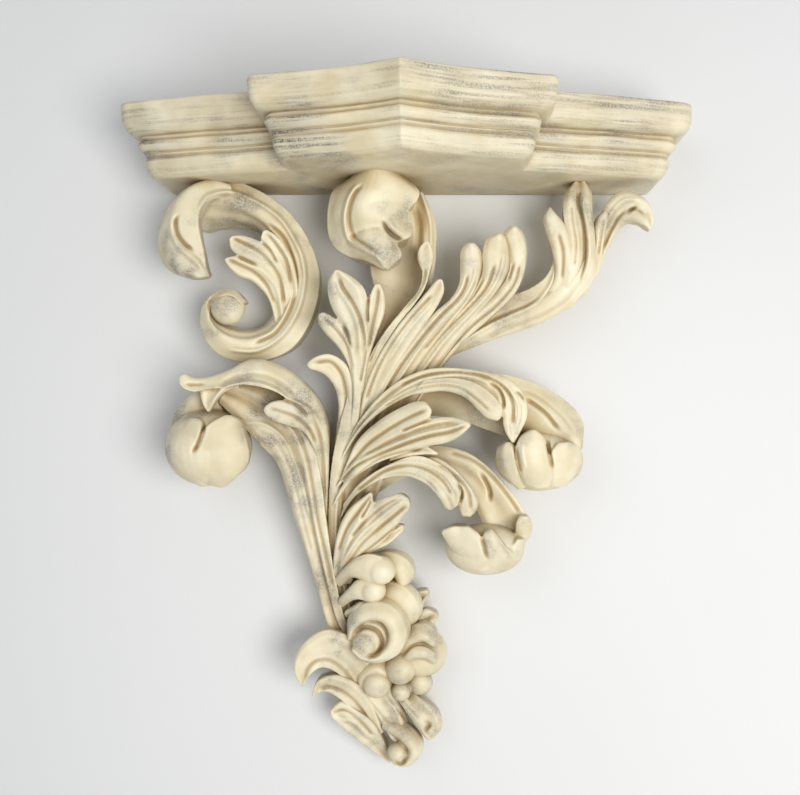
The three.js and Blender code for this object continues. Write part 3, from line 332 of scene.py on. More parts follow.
def carve(name, lobes, material):
    vertices, faces = [], []
    for lobe_vertices, lobe_faces in lobes:
        start = sum(len(part) for part in vertices)
        vertices.append(lobe_vertices)
        faces += [tuple(start + k for k in face) for face in lobe_faces]
    piece = mesh_object(name + "_carving", np.concatenate(vertices), faces)
    melt(piece, VOXEL)
    relax(piece.data, 2)
    chisel(piece.data, CUTS.get(name, []))
    relax(piece.data, 1)
    store_hollows(piece.data)
    finish_piece(piece, material, name)
    return piece


SPRAY = {
    # rolled bud in the middle, glued up under the shelf
    "centre_curl": [
        ball(-15, 91, 34, 17, (1.1, 1, 1)),
        leaf(
            [(-24, 112, 36), (-33.5, 105, 37), (-36, 97, 38), (-36.5, 89, 38), (-35.5, 81, 39), (-31.5, 75, 41),
             (-25, 71.3, 44), (-18, 70, 46), (-9, 65.5, 49)],
            [(2, 112, 36), (9.5, 105, 37), (8.5, 99.5, 39), (5, 95.5, 41), (6.3, 87.5, 43), (5, 81.5, 45),
             (-1, 78.8, 48), (0.8, 72, 49), (-6, 65.2, 49)],
            (0, 9, 15, 17, 14, 8, 0), (0, 4, 6, 7, 6, 3, 0), thick=26,
        ),
    ],
    # side scroll on the left with its own small leaf
    "c_scroll_leaf": [
        leaf(
            [(-62, 32, 18), (-64, 44, 22), (-67, 52, 26), (-74, 59, 30), (-81, 62, 33), (-86, 66.5, 35),
             (-88, 70, 36)],
            [(-57, 34, 20), (-58.5, 47, 24), (-61, 58, 28), (-68, 66, 32), (-76, 70, 34), (-83, 72, 36),
             (-87.5, 71, 36)],
            CHANNEL, thick=16,
        ),
        leaf(
            [(-58.5, 38, 20), (-60, 53, 25), (-66, 64, 30), (-73, 68.5, 33), (-80, 71.5, 35),
             (-85, 76, 36), (-85.5, 80.5, 37)],
            [(-53, 38, 20), (-54.5, 55, 25), (-59, 69, 30), (-66, 77, 33), (-74, 81, 35),
             (-80, 82.5, 36), (-84.5, 82, 37)],
            MIDRIB, thick=16,
        ),
        leaf(
            [(-55, 42, 22), (-57, 60, 26), (-62, 71, 30), (-67.5, 77, 33), (-69.8, 81, 35), (-68.5, 84.8, 35)],
            [(-50, 42, 22), (-51.5, 60, 26), (-54.5, 72, 29), (-59, 79.5, 32), (-63.5, 83.5, 34), (-67, 85.2, 35)],
            CHANNEL, thick=16,
        ),
    ],
    "c_scroll_bead": [ball(-86, 46, 25, 8.2, (1, 0.8, 1))],
    "c_scroll_band": [
        leaf(
            [(-88, 110, 23), (-98, 109.5, 25), (-107.5, 105.5, 28), (-114.5, 98.5, 30), (-119, 90, 31),
             (-121, 80, 31), (-120, 71, 32), (-114, 63.5, 34), (-104, 61, 37), (-96.5, 61.3, 39)],
            [(-84, 100, 24), (-90, 101, 29), (-95, 100, 34), (-99.5, 96, 38), (-100.8, 90, 40),
             (-99.8, 82, 41), (-98, 74, 41), (-97, 67, 40), (-96, 64, 40), (-95.5, 61.8, 39)],
            (0, 4, 6, 6, 4, 2, 0), (0, 3, 5, 6, 5, 3, 0), thick=16,
        ),
        leaf(
            [(-112, 99, 25), (-106, 106, 25), (-98, 110, 25), (-86, 110.3, 25), (-75, 107, 25),
             (-64, 101, 24), (-54, 92.5, 24), (-45, 79, 23), (-40.3, 64, 22), (-41, 51, 22),
             (-46, 36.5, 22), (-55, 25, 22), (-68, 19.5, 22), (-80, 19, 23), (-91, 23, 24),
             (-98, 31, 25), (-100.3, 40, 26), (-98, 49, 27), (-91, 55, 28), (-82.5, 55, 28),
             (-77, 49.5, 26)],
            [(-101, 86, 18), (-97, 84.5, 14), (-92, 85.5, 12), (-86, 86, 10), (-79, 86, 10),
             (-72, 84, 10), (-67, 80, 10), (-63, 72.5, 9), (-60.8, 62, 8), (-61, 53, 8),
             (-63, 45, 8), (-67, 38.5, 8), (-72, 35.8, 10), (-78, 35.8, 13), (-84, 37.3, 16),
             (-90, 38.8, 19), (-94.5, 42.5, 22), (-95.5, 48, 24), (-90.5, 52, 25), (-84, 51.5, 26),
             (-80, 48, 25)],
            (0, 6.5, 9, 7, 6, 3, 0), thick=26,
        ),
    ],
    # leaf that folds over the left bud
    "left_over_leaf": [
        leaf(
            [(-40, -70, 20), (-40.5, -35, 27), (-44, -21, 32), (-50, -8, 36), (-57, 0, 40),
             (-66, 4.8, 43), (-78, 7, 45), (-88, 5.5, 46), (-96, 5, 46), (-104, 3.8, 46),
             (-109.5, 6.5, 46), (-111, 10, 45)],
            [(-36.5, -70, 18), (-35.5, -32, 23), (-35.5, -15, 27), (-38.5, -3, 29), (-47, 8.5, 31),
             (-60, 17.5, 33), (-74, 20.5, 35), (-86, 15, 38), (-95.5, 11.7, 41), (-103, 11.3, 43),
             (-108, 13.3, 44), (-110.2, 12.3, 44)],
            (0.6, 0.2, 0.6, 1.6, 2.2, 1.8, 0), (0.8, 0.4, 0.4, 0.6, 0.8, 0.8, 0), thick=13,
        ),
        leaf(
            [(-40.5, -42, 24), (-43, -26, 30), (-48, -16.5, 35), (-56, -13, 39), (-63.5, -10.5, 42),
             (-67.5, -7.3, 43), (-68.5, -5, 43)],
            [(-36.5, -42, 23), (-37.5, -20, 29), (-41.5, -8, 34), (-49, -1.5, 38), (-57.5, 0, 41),
             (-64.5, -1, 43), (-67.5, -3, 43)],
            MIDRIB, thick=10,
        ),
        leaf(
            [(-84, 8, 42), (-97, 9, 43), (-100, 4, 44), (-99, -2, 43), (-96.5, -6, 42)],
            [(-80, 6, 43), (-85, 5.5, 44), (-90, 2, 44), (-93.5, -3, 43), (-95.5, -6.2, 42)],
            CHANNEL, thick=8,
        ),
    ],
    "left_bud": [
        ball(-95.5, -23.5, 29, 18.2, (1.1, 1.1, 1)),
        leaf(
            [(-112, -34, 24), (-117, -24, 26), (-115, -12, 28), (-110.5, -3, 30), (-105.5, 2, 32), (-100, 5, 34)],
            [(-90, -34, 28), (-86, -24, 30), (-86, -12, 30), (-89, -4, 31), (-93, 1, 33), (-97, 4, 34)],
            (0, 3, 4, 4, 3, 2, 0), thick=20,
        ),
        leaf(
            [(-100, -41, 30), (-110, -36, 34), (-116.5, -29, 36), (-117.3, -22, 37), (-114, -15, 39),
             (-109, -10.7, 41), (-104, -8.8, 42)],
            [(-94, -41, 36), (-97, -36, 44), (-99, -29, 48), (-99.5, -22, 49), (-98.8, -16, 49),
             (-98.6, -12, 47), (-99.8, -9.6, 44)],
            (0, 2, 3, 3.4, 3, 1.5, 0), (0, 1, 1.2, 1.2, 1, 0.6, 0), thick=16,
        ),
        leaf(
            [(-98, -41.5, 36), (-101, -36, 44), (-102, -28, 48), (-100, -19, 50), (-97.3, -13.5, 50),
             (-92, -9.7, 48), (-88, -7.7, 46)],
            [(-84, -39.5, 32), (-77.5, -34.5, 38), (-75.3, -28, 40), (-76.8, -20, 42), (-78.3, -14, 42),
             (-80.5, -9.5, 43), (-84.5, -7.6, 44)],
            (0, 1.5, 3, 4, 4, 3, 0), (0, 0.6, 1, 1.4, 1.4, 1, 0), thick=16,
        ),
    ],
    "left_stem": [
        leaf(
            [(-22, -131, 14), (-34.5, -116, 16), (-42, -92, 18), (-48, -73, 20), (-53, -59, 22),
             (-57.5, -43, 24), (-62, -31, 27), (-70, -22.5, 30), (-78, -14, 32), (-86, -6, 34),
             (-91, -1, 34)],
            [(-17, -122, 16), (-26, -112, 20), (-31.5, -92, 24), (-34.5, -75, 26), (-37, -58, 27),
             (-39, -42, 28), (-42, -26, 29), (-47, -10, 29), (-57, 2, 29), (-70, 8, 30),
             (-84, 10, 32)],
            (0, 2.5, 2, -0.5, 2.2, 1, 0.5), (0, 2, 2, 0.4, 1.6, 1, 0), thick=28,
        ),
    ],
    # three-lobed leaf at the foot of the fan
    "trefoil_leaf": [
        leaf(
            [(-27.5, -30, 26), (-23.5, 5, 33), (-26, 24, 38), (-28.5, 36, 41), (-34, 45, 43),
             (-36.3, 53, 45), (-36, 60, 47), (-32.8, 65, 49)],
            [(-22, -30, 26), (-19, 5, 33), (-16, 22, 37), (-15.5, 36, 40), (-16, 47, 43),
             (-18, 56, 45), (-24.5, 61.8, 47), (-30.8, 65.2, 49)],
            MIDRIB, (-0.8, 1, 0.8, 0, 0.8, 1, -0.8), thick=13,
        ),
        leaf(
            [(-22, 4, 32), (-18.5, 22, 36), (-17, 34, 38.5), (-16.5, 44, 40.5), (-15.3, 52, 42), (-12.5, 58, 43)],
            [(-18.5, 4, 32), (-15, 22, 35), (-11, 34, 37), (-7.5, 44, 38.5), (-7.3, 52, 40), (-9.8, 58.3, 42)],
            CHANNEL, thick=13,
        ),
        leaf(
            [(-23.5, 5, 31), (-26.5, 18, 34), (-32, 27, 36.5), (-38, 33.5, 39), (-41.3, 39, 41.5), (-41, 43, 43)],
            [(-20, 6, 32), (-22, 20, 36), (-25, 31, 39), (-29.5, 38, 41), (-34.5, 42, 42.5), (-38.5, 44, 43.5)],
            CHANNEL, (-0.6, 0.8, 1, 1, 1, 0.8, -0.6), thick=13,
        ),
    ],
    # middle leaf, pointing right
    "middle_right_leaf": [
        leaf(
            [(-34, -54, 26), (-26, -42, 32), (-14, -33, 38), (0, -27.5, 43), (13, -23.5, 46),
             (24, -21.3, 48), (31, -17.5, 49), (35.3, -13.5, 49)],
            [(-30, -44, 28), (-20, -30, 35), (-8, -20, 41), (5, -13.5, 45), (16, -9.3, 48),
             (26, -8.5, 49), (33, -10.3, 50), (35.6, -12, 49)],
            MIDRIB, (-0.5, 0.6, 0, 0.9, 0, 0.6, -0.5), thick=15,
        ),
        leaf(
            [(-32, -44, 28), (-19, -30, 35), (-7, -22.5, 41), (4, -17, 45), (11, -12.5, 48), (15, -8.8, 49),
             (16, -6, 49)],
            [(-29, -38, 28), (-22, -21, 35), (-11, -10.5, 41), (0, -3.8, 45), (8, -0.8, 48),
             (13.5, -1.5, 49), (15.7, -4.5, 49)],
            CHANNEL, (-0.6, 0.8, 1, 0.8, 1, 0.8, -0.6), thick=15,
        ),
        leaf(
            [(-6, -31, 36), (4, -28.5, 41), (13, -27.5, 43), (19, -27.7, 43)],
            [(2, -22, 40), (8, -22, 43), (14, -23.5, 44), (19.3, -26.7, 43)],
            CHANNEL, thick=12,
        ),
    ],
    # upper right leaf with its bud
    "upper_right_leaf": [
        leaf(
            [(-32, -36, 26), (-20, -16, 33), (-5, -3, 38), (10, 3.5, 42), (26, 4.5, 45), (38, 2, 47),
             (47, -2, 48), (51, -7, 48), (51.5, -12, 48), (53, -17, 47), (56, -21.5, 46)],
            [(-30, -30, 26), (-18, -8, 32), (-3, 7.5, 36), (13, 15, 40), (30, 15.8, 43), (46, 13.3, 45),
             (57.5, 8, 46), (63.3, -1, 46), (63.5, -9, 46), (60.3, -16, 46), (57.2, -21.5, 46)],
            (1, 0.5, -0.3, -0.6, 0.8, 1.4, 0), (0, 1, 0.2, 0.8, 0.2, 1, 0), thick=13,
        ),
        leaf(
            [(6, 2.5, 42), (22, 4.3, 46), (32, 1.2, 48.5), (39, -5.2, 50), (44, -9.5, 50), (48.5, -10.6, 49)],
            [(12, 10, 42), (28, 11, 46), (39, 8, 49), (47.5, 1.5, 51), (51.5, -4.5, 51), (51, -8, 50)],
            (0.4, 0, 0.6, 1.2, 0.6, 0.4, -0.6), (0.2, 1, 1.4, 1.4, 1.4, 1, 0), thick=8,
        ),
    ],
    "upper_right_bud": [
        ball(69.5, -30.5, 29, 14.6, (1.42, 1.2, 0.96)),
        leaf(
            [(58, -43, 34), (51, -37, 36), (48, -29.5, 38), (49, -23.5, 40), (53, -20.8, 42)],
            [(64, -43, 40), (62, -37, 46), (59.5, -31, 47.5), (58, -25, 47), (56.5, -21.5, 44)],
            (0, 1.5, 2.4, 2.6, 2.2, 1.2, 0), (0, 1, 1.6, 2, 1.4, 0.8, 0), thick=14,
        ),
        leaf(
            [(63, -43, 42), (60, -37, 47), (58, -30, 49), (58, -23, 49), (61, -17.5, 47), (65, -15, 46)],
            [(75, -43, 42), (76, -37, 46), (75.3, -30, 47), (74, -24, 47), (71.5, -17.8, 46), (68, -15, 46)],
            (0, 0.8, 1.6, 2, 2, 1.4, 0), (0, 1, 1.6, 2, 1.8, 1.2, 0), thick=14,
        ),
        leaf(
            [(74, -43, 40), (76, -37, 45), (76, -31, 46), (76, -25.5, 46), (79, -21.5, 44)],
            [(85, -41, 32), (90.3, -35, 34), (91, -28, 36), (89, -23, 38), (84.5, -20.8, 41)],
            (0, 1.2, 2.2, 2.6, 2.4, 1.5, 0), (0, 0.8, 1.4, 1.8, 1.4, 0.8, 0), thick=14,
        ),
    ],
    "upper_right_stem": [
        leaf(
            [(-18, -24, 16), (0, -12, 20), (16, -8, 23), (32, -11, 26), (46, -16, 28), (58, -20, 29),
             (70, -22, 31), (79, -24, 32), (84, -26, 32), (87, -28, 31)],
            [(-16, -12, 16), (2, 4, 20), (18, 12.5, 23), (36, 15, 26), (52, 13, 28), (66, 9, 29),
             (79, 2.5, 31), (88, -5, 33), (92, -13, 34), (91.5, -24, 32)],
            (0, 1.5, 2.5, 3, 3, 2, 0), (-1, 1, 3.5, 5, 5, 3, 0), thick=24,
        ),
    ],
    # lower right leaf with its bud
    "lower_right_leaf": [
        leaf(
            [(-30, -60, 24), (-22, -48, 30), (-8, -39.5, 36), (4, -38.5, 41), (13, -42.5, 43),
             (19, -48.5, 44), (22.5, -54, 43), (25, -55.6, 42)],
            [(-28, -52, 26), (-18, -40, 32), (-4, -31.5, 38), (9, -27.8, 42), (20, -32, 44),
             (28, -39.5, 45), (30.5, -47, 44), (28.8, -53, 43)],
            (1, 0.4, -0.3, 0.6, 0.2, 0.8, 0), (0, 0.8, 0.2, 1, 0.2, 0.8, 0), thick=13,
        ),
        leaf(
            [(4, -34, 39), (16, -34, 42), (25, -39, 43), (30.8, -46, 42), (29.3, -54, 40), (30.8, -58.3, 39)],
            [(9, -28, 39), (20, -29.3, 41), (31.5, -38.3, 41), (38.5, -49, 40), (38.3, -55.5, 39), (35.5, -58.5, 39)],
            (0, 0.8, 0.4, 0, 0.4, 0.8, 0), (0, 0.8, 0.8, 1, 0.8, 0.8, 0), thick=12,
        ),
    ],
    "lower_right_bud": [
        ball(42.5, -74.5, 29, 13, (1.42, 1.25, 0.92)),
        leaf(
            [(36, -84, 36), (28, -77.5, 38), (22.8, -70.5, 41), (21, -65.5, 43), (25.5, -63.3, 44)],
            [(46, -84.5, 42), (44.5, -79, 46), (42, -72.5, 48), (39.5, -67, 47), (34.5, -63.3, 45)],
            (0, 1.2, 2, 2.4, 2, 1.2, 0), (0, 0.6, 0.4, 0, 0.4, 0.6, 0), thick=14,
        ),
        leaf(
            [(45, -85, 40), (43, -79, 46), (41.2, -72, 48), (41.8, -67, 47), (44, -64.8, 45)],
            [(57, -83, 35), (58, -78.5, 40), (52.5, -73, 45), (49, -68, 46), (46.5, -65, 45)],
            (0, 0.8, 1.4, 1.8, 1.8, 1.4, 0), (0, 1, 1.6, 2, 1.6, 1, 0), thick=14,
        ),
        leaf(
            [(50, -85, 34), (54, -79, 41), (56.5, -73, 41), (58.5, -69.5, 40)],
            [(59, -82, 32), (61.5, -77, 34), (62, -72, 35), (62.5, -69, 37)],
            (0, 0.8, 1.2, 1.4, 1.2, 0.8, 0), thick=12,
        ),
        leaf(
            [(54, -76, 28), (57.5, -69, 33), (58, -62, 36), (60, -57.5, 36)],
            [(61, -75, 28), (64.5, -69, 32), (66.5, -63, 34), (64.5, -58, 36)],
            (0, 1, 1.4, 1.6, 1.4, 1, 0), thick=12,
        ),
    ],
    "lower_right_stem": [
        leaf(
            [(-18, -52, 16), (0, -40, 20), (14, -38, 23), (26, -42, 25), (34, -49, 26), (39, -57, 27),
             (42, -65, 28), (46, -72, 28), (52, -77, 28)],
            [(-12, -38, 16), (4, -24, 20), (20, -22.8, 24), (34, -26.3, 27), (46, -35, 29), (55, -45, 31),
             (62, -55, 31), (66, -62, 31), (65.5, -69, 31)],
            (0, 2, 3, 1.6, 3, 2, 0), (0, 0, -1, -2, -2, 0, 0), thick=24,
        ),
    ],
    # fan of long leaves rising behind the trefoil
    "small_left_curl": [
        leaf(
            [(-34.5, -45, 20), (-32.5, -18, 24), (-31, -3, 27), (-32.8, 6, 29), (-37, 12, 31),
             (-41.5, 14.5, 33), (-45, 15.5, 35), (-46.8, 17.5, 35)],
            [(-27, -45, 22), (-24, -18, 27), (-23, 0, 30), (-23.5, 10, 32), (-27.5, 18.5, 34),
             (-35, 23, 36), (-42, 21.8, 37), (-46, 19, 36)],
            CHANNEL, (0.4, 0.8, 0.6, 0.4, 0.6, 0.8, 0), thick=14,
        ),
    ],
    "fan_leaf_1": [
        leaf(
            [(-27, -25, 25), (-21, 5, 31), (-15, 22.5, 34), (-7, 35.5, 36), (2, 46.5, 38), (9, 55, 39),
             (11, 63, 40), (8.6, 71, 41), (9.7, 76.5, 42), (13, 79.8, 43)],
            [(-21, -25, 24), (-16, 5, 30), (-9, 23.5, 33), (0, 38, 35), (8, 48.5, 37), (12.8, 56.5, 38),
             (15, 64, 39), (16.9, 71, 40), (16, 76, 42), (14.2, 79.5, 43)],
            (0.8, 0.3, -0.3, -0.3, 0.5, 0.6, 0), (0.2, 0.8, 0.4, 0.2, 0.4, 0.8, 0), thick=14,
        ),
    ],
    "fan_leaf_2": [
        leaf(
            [(-25, -38, 24), (-18.5, 4, 31), (-10.5, 22.5, 35), (0, 38.5, 37.5), (8, 48, 39), (14, 55, 40),
             (18, 59.8, 41.5), (20, 60.7, 42)],
            [(-18, -38, 24), (-9, 2, 31), (0, 18.5, 34), (10, 34, 36), (17, 44, 38), (21.2, 51.5, 39),
             (22.2, 56, 40.5), (21.3, 60.2, 42)],
            CHANNEL, (0, 0.8, 0.5, 0, 0.5, 0.8, 0), thick=14,
        ),
    ],
    "fan_leaf_3": [
        leaf(
            [(-23, -46, 24), (-10, 6, 32), (4, 27, 36), (17, 43, 38.5), (26, 51, 40), (30, 59, 41),
             (30.3, 68, 43), (31, 75, 45), (34, 78.5, 46)],
            [(-15, -46, 24), (1, 0, 31), (15, 23.5, 34), (27.5, 39, 36), (35.5, 50, 38), (40, 59, 39),
             (41.8, 68, 41), (40.3, 75, 44), (37, 78.5, 46)],
            MIDRIB, FINGER, thick=16,
        ),
    ],
    "fan_leaf_4": [
        leaf(
            [(-21, -52, 22), (-4, 5, 30), (14, 28, 34), (28, 44, 37), (38, 55, 39), (41.5, 65, 41),
             (41.5, 73, 43), (44, 80.5, 44.5), (48.5, 83.2, 45)],
            [(-13, -52, 22), (7, -2, 29), (24, 23, 32), (39, 41.5, 34), (49.5, 54, 36), (55, 64, 38),
             (56, 73, 40), (54, 80.3, 43), (50.8, 83.2, 45)],
            MIDRIB, FINGER, thick=16,
        ),
    ],
    "fan_leaf_5": [
        leaf(
            [(-20, -56, 20), (2, 3, 28), (22, 30, 32), (38, 44, 35), (50, 55, 37), (55.5, 65, 39),
             (54, 75, 41), (51.8, 82.5, 42.5), (55.5, 86.9, 43.5)],
            [(-15, -56, 18), (9, -3, 25), (30, 26, 28), (46, 40.5, 31), (58.5, 53, 33), (63.3, 64, 35),
             (64.5, 75, 38), (62.3, 83, 41), (58.5, 86.9, 43.5)],
            CHANNEL, FINGER, thick=16,
        ),
    ],
    # tall plume on the right, up to the shelf
    "plume_tip_1": [
        leaf(
            [(70, 47, 27), (77.3, 62, 34), (76, 75, 37.5), (72.8, 85, 38), (71.5, 91.5, 38), (73.8, 96.2, 37)],
            [(82, 47, 27), (87, 62, 35), (86, 78, 38), (83.5, 87, 38.5), (79.5, 92.5, 38), (75.8, 96.2, 37)],
            (0, 0.8, 0.4, 0, 0.4, 0.8, 0), FINGER, thick=14,
        ),
    ],
    "plume_tip_2": [
        leaf(
            [(74, 42, 24), (83, 62, 35), (84.5, 80, 38), (82, 90.5, 38), (81.6, 98, 36), (82.8, 104.5, 32),
             (86.2, 108.6, 29)],
            [(88, 48, 24), (97.5, 64, 32), (98, 80, 34.5), (97, 91, 34.5), (96.6, 99, 33), (96, 105, 31),
             (93.2, 109, 29)],
            (0, 1, 0.6, -0.6, 0.8, 1, 0), (-1, 1.2, 1.2, 0.2, 1.2, 1.2, -1), thick=16,
        ),
    ],
    "plume_tip_3": [
        leaf(
            [(86, 48, 22), (94, 64, 30), (97.3, 78, 33), (97, 86, 34), (98.5, 91.8, 34), (101.8, 94.7, 34)],
            [(94, 54, 22), (100.5, 67, 29), (102.3, 78, 32), (104, 86, 33), (105.2, 91, 34), (103.8, 94.5, 34)],
            CHANNEL, FINGER, thick=12,
        ),
    ],
    "plume_curl": [
        leaf(
            [(93, 60, 26), (98, 78, 28), (100, 92, 30), (104.5, 100, 32), (111, 104.8, 33),
             (118.5, 103.3, 34), (124.5, 98.5, 34), (126.7, 90, 35), (125.5, 85, 36)],
            [(99, 62, 25), (103, 73, 26), (107.5, 81.5, 28), (111, 86.3, 31), (115.5, 88.5, 34),
             (119, 88.3, 36), (122, 87.3, 37), (124, 85.6, 36.5), (124.6, 84.3, 36)],
            (0, 1, 0.4, 0, 0.4, 1, 0), (0, 1.6, 1, 0, 0.6, 1, 0), thick=13,
        ),
    ],
    "plume_stem": [
        leaf(
            [(-20, -14, 18), (2, 14, 22), (22, 30, 25), (40, 42, 27), (54, 51.5, 28), (65, 56, 29),
             (73, 62, 31), (77.3, 71, 33), (79, 80, 33)],
            [(-14, -22, 16), (8, 4, 18), (22, 19.5, 21), (37, 26.3, 24), (52, 32, 26), (67, 36.8, 28),
             (82.5, 45, 29), (94.8, 57, 29), (101.5, 71, 29)],
            (0, 0.5, 1, 2.5, 3, 2, 0), (0, 0.5, 1, 2.5, 2.5, 1.5, 0), thick=22,
        ),
    ],
    # leaf and beads above the snail
    "lower_leaf": [
        leaf(
            [(-31, -92, 22), (-28, -78, 30), (-21, -65, 35), (-14, -52, 38), (-6, -48.5, 40), (1, -47, 41),
             (4.2, -49, 41)],
            [(-24, -92, 23), (-20, -79, 30), (-12, -74, 34), (-4, -66, 37), (1, -59, 39), (4.6, -55, 41),
             (5.2, -52, 41)],
            MIDRIB, (-0.6, 0.8, 0.2, 0.8, 0.2, 0.8, -0.6), thick=14,
        ),
        leaf(
            [(-34, -92, 22), (-33.3, -75, 27), (-30, -62, 32), (-25, -54, 36), (-19, -49, 38), (-15, -46.2, 39)],
            [(-29, -92, 24), (-27, -77, 30), (-22, -66, 35), (-17, -57, 38), (-14, -52, 39), (-13.8, -47, 39)],
            CHANNEL, thick=14,
        ),
        leaf(
            [(-28, -92, 20), (-24, -82, 27), (-14, -76.3, 31), (-5, -71.8, 33), (1.5, -65.7, 34)],
            [(-22, -92, 20), (-17, -77, 28), (-8, -68, 33), (-1, -62.5, 35), (2.4, -63, 34.5)],
            CHANNEL, thick=13,
        ),
    ],
    "upper_bead": [
        leaf(
            [(-30, -94, 22), (-24, -89, 29), (-17, -91, 33), (-12, -92, 34)],
            [(-28, -87, 22), (-24.5, -80.3, 30), (-16, -77, 34), (-9, -78.3, 35)],
            (0, 2.5, 3.5, 4, 3.5, 2.5, 0), (0, 1, 1.5, 1.6, 1.5, 1, 0), thick=14,
        ),
        ball(-9.5, -85, 31, 6.9),
    ],
    "lower_bead": [
        leaf(
            [(-29, -104, 22), (-22, -100, 29), (-16, -101, 32)],
            [(-27, -97, 22), (-22, -90.3, 30), (-15, -89, 33)],
            (0, 2, 3, 3.4, 3, 2, 0), (0, 0.6, 0.9, 1, 0.9, 0.6, 0), thick=13,
        ),
        ball(-13.5, -95, 29, 6.2),
        leaf(
            [(-27, -109, 22), (-20, -107, 28), (-15, -106, 28)],
            [(-25, -104, 22), (-20, -101, 29), (-15, -101, 29)],
            (0, 1.4, 2, 2.4, 2, 1.4, 0), thick=12,
        ),
    ],
    "back_lobe_1": [
        stroke([(-17, -94, 16, 5), (-9, -84.5, 24, 7), (-1, -86, 26, 6.5), (2, -94, 24, 3.5)], CUSHION, thick=12),
    ],
    "back_lobe_2": [
        stroke([(-14, -110, 16, 5), (-6, -99, 24, 7), (1, -103, 26, 7), (3, -114, 23, 4)], CUSHION, thick=12),
    ],
    "back_lobe_3": [
        leaf(
            [(2, -112, 14), (4, -102, 19), (7.5, -96, 20), (13.5, -94.8, 19)],
            [(12, -112, 14), (11.5, -105, 18), (13, -101, 19), (15, -98, 19)],
            CHANNEL, thick=12,
        ),
    ],
    "back_lobe_4": [
        leaf(
            [(2, -120, 14), (8, -108.5, 20), (13, -104.5, 21), (18.5, -106.3, 20)],
            [(8, -126, 14), (13, -117, 19), (16.5, -113, 20), (19.7, -109, 20)],
            CHANNEL, thick=12,
        ),
    ],
    # snail volute over the tail
    "snail_volute": [
        ball(-12.7, -117, 19, 13.2),
        stroke(
            [
                (-25.2, -119, 27, 1.8),
                (-23, -112, 30, 3.6),
                (-16, -107.6, 33, 4.6),
                (-7.5, -108.8, 34, 5),
                (-3, -116, 34, 4.8),
                (-5, -124.5, 33, 3.8),
                (-12, -129, 32, 2.6),
                (-19.5, -128.4, 31, 2),
                (-24.4, -124, 30, 1.4),
            ],
            CUSHION,
            thick=14,
        ),
        ball(-17.2, -121.8, 28, 6.2),
    ],
    "cluster_bead_1": [
        ball(-11.5, -142, 22, 6.6),
        stroke([(-16, -150, 14, 4), (-19, -140, 20, 3.4), (-12, -134, 23, 3.4), (-5, -137, 22, 2)], CUSHION),
    ],
    "cluster_bead_2": [ball(0, -134, 20, 7.8)],
    "cluster_bead_3": [ball(10, -141, 15, 6.2), ball(0.5, -145.5, 18, 4.8)],
    "cluster_lobe": [
        ball(10, -126, 14, 12, (1.12, 0.9, 1)),
        stroke([(-3, -128, 18, 4), (5, -120, 25, 5), (12, -118, 27, 4.6), (18, -123, 25, 3)], CUSHION, thick=14),
        stroke([(0, -131, 18, 4), (7, -126.5, 26, 4.6), (14, -127, 26, 4.6), (18, -131, 22, 3)], CUSHION, thick=14),
    ],
    # leafy tail
    "tail_leaf_1": [
        leaf(
            [(-16, -158, 14), (-25, -143, 20), (-34, -135, 25), (-40, -134, 28), (-45, -137.5, 30),
             (-47, -141, 29), (-48.6, -143.8, 28)],
            [(-10, -146, 16), (-14, -130, 22), (-24, -119, 26), (-37, -115, 29), (-49, -122.5, 30),
             (-53.4, -133, 30), (-50.5, -142, 28)],
            (0.8, 0.2, -0.4, 0.6, 0.8, 1.2, 0), thick=14,
        ),
    ],
    "tail_leaf_2": [
        leaf(
            [(-14, -169, 12), (-22, -159, 17), (-30, -149.7, 22), (-37.5, -145.7, 24), (-42, -147, 24.5),
             (-44, -148.8, 24)],
            [(-8, -166, 13), (-14, -150, 18), (-24, -140.5, 23), (-34, -137.5, 25), (-41.5, -140.5, 25),
             (-44, -147, 24)],
            (0.6, 0.2, -0.4, 0.6, 0.6, 1, 0), thick=13,
        ),
    ],
    "tail_leaf_3": [
        leaf(
            [(-5, -182, 10), (-17, -173.3, 15), (-27, -165.3, 18), (-33.5, -159.3, 19), (-35.2, -156.5, 19)],
            [(-6, -174, 12), (-13, -162, 17), (-22, -155, 20), (-30, -150.7, 20), (-34.6, -155, 19)],
            (0.6, 0.2, -0.4, 0.4, 0.4, 0.8, 0), thick=12,
        ),
    ],
    "tail_curl": [
        stroke(
            [(-8, -162, 14, 4), (2, -168, 19, 4.6), (7, -175, 20, 4), (3, -181.5, 18, 3), (-4, -180.5, 17, 1.8)],
            CUSHION,
            thick=13,
        ),
        ball(-1.5, -176.3, 16, 5),
    ],
    "tail_knob": [
        leaf(
            [(-4, -146, 14), (0, -152, 18), (5, -159, 20), (10, -166, 19), (13, -169.5, 17)],
            [(7, -146, 14), (14, -151.5, 19), (20.5, -158, 20), (20.8, -164.5, 19), (16.5, -169.3, 17)],
            (0, 1.5, 0.2, 0.2, 2, 2, 0), (0, 1.5, 2, 2, 2, 1.5, 0), thick=14,
        ),
    ],
    "tail_stem": [
        stroke(
            [(-30, -104, 14, 4), (-16, -125, 17, 8), (-12, -142, 18, 8.5), (-5, -158, 17, 7), (1, -172, 14, 5)],
            (-3, 0.8, 0.2, -0.6, 0.2, 0.8, -3),
            thick=18,
        ),
    ],
    "centre_stem": [
        leaf(
            [(-27, -118, 18), (-34, -90, 20), (-36, -60, 23), (-34, -30, 27), (-27, 0, 29), (-17, 28, 29),
             (-13, 52, 24), (-15, 68, 24), (-12, 84, 25), (-4, 98, 25), (2, 110, 24)],
            [(-20, -114, 18), (-25, -90, 20), (-22, -62, 24), (-11, -34, 27), (2, -4, 28), (12, 26, 28),
             (14.5, 50, 23), (17.5, 66, 21), (18.3, 79, 22), (17.5, 90, 22), (12, 103, 22)],
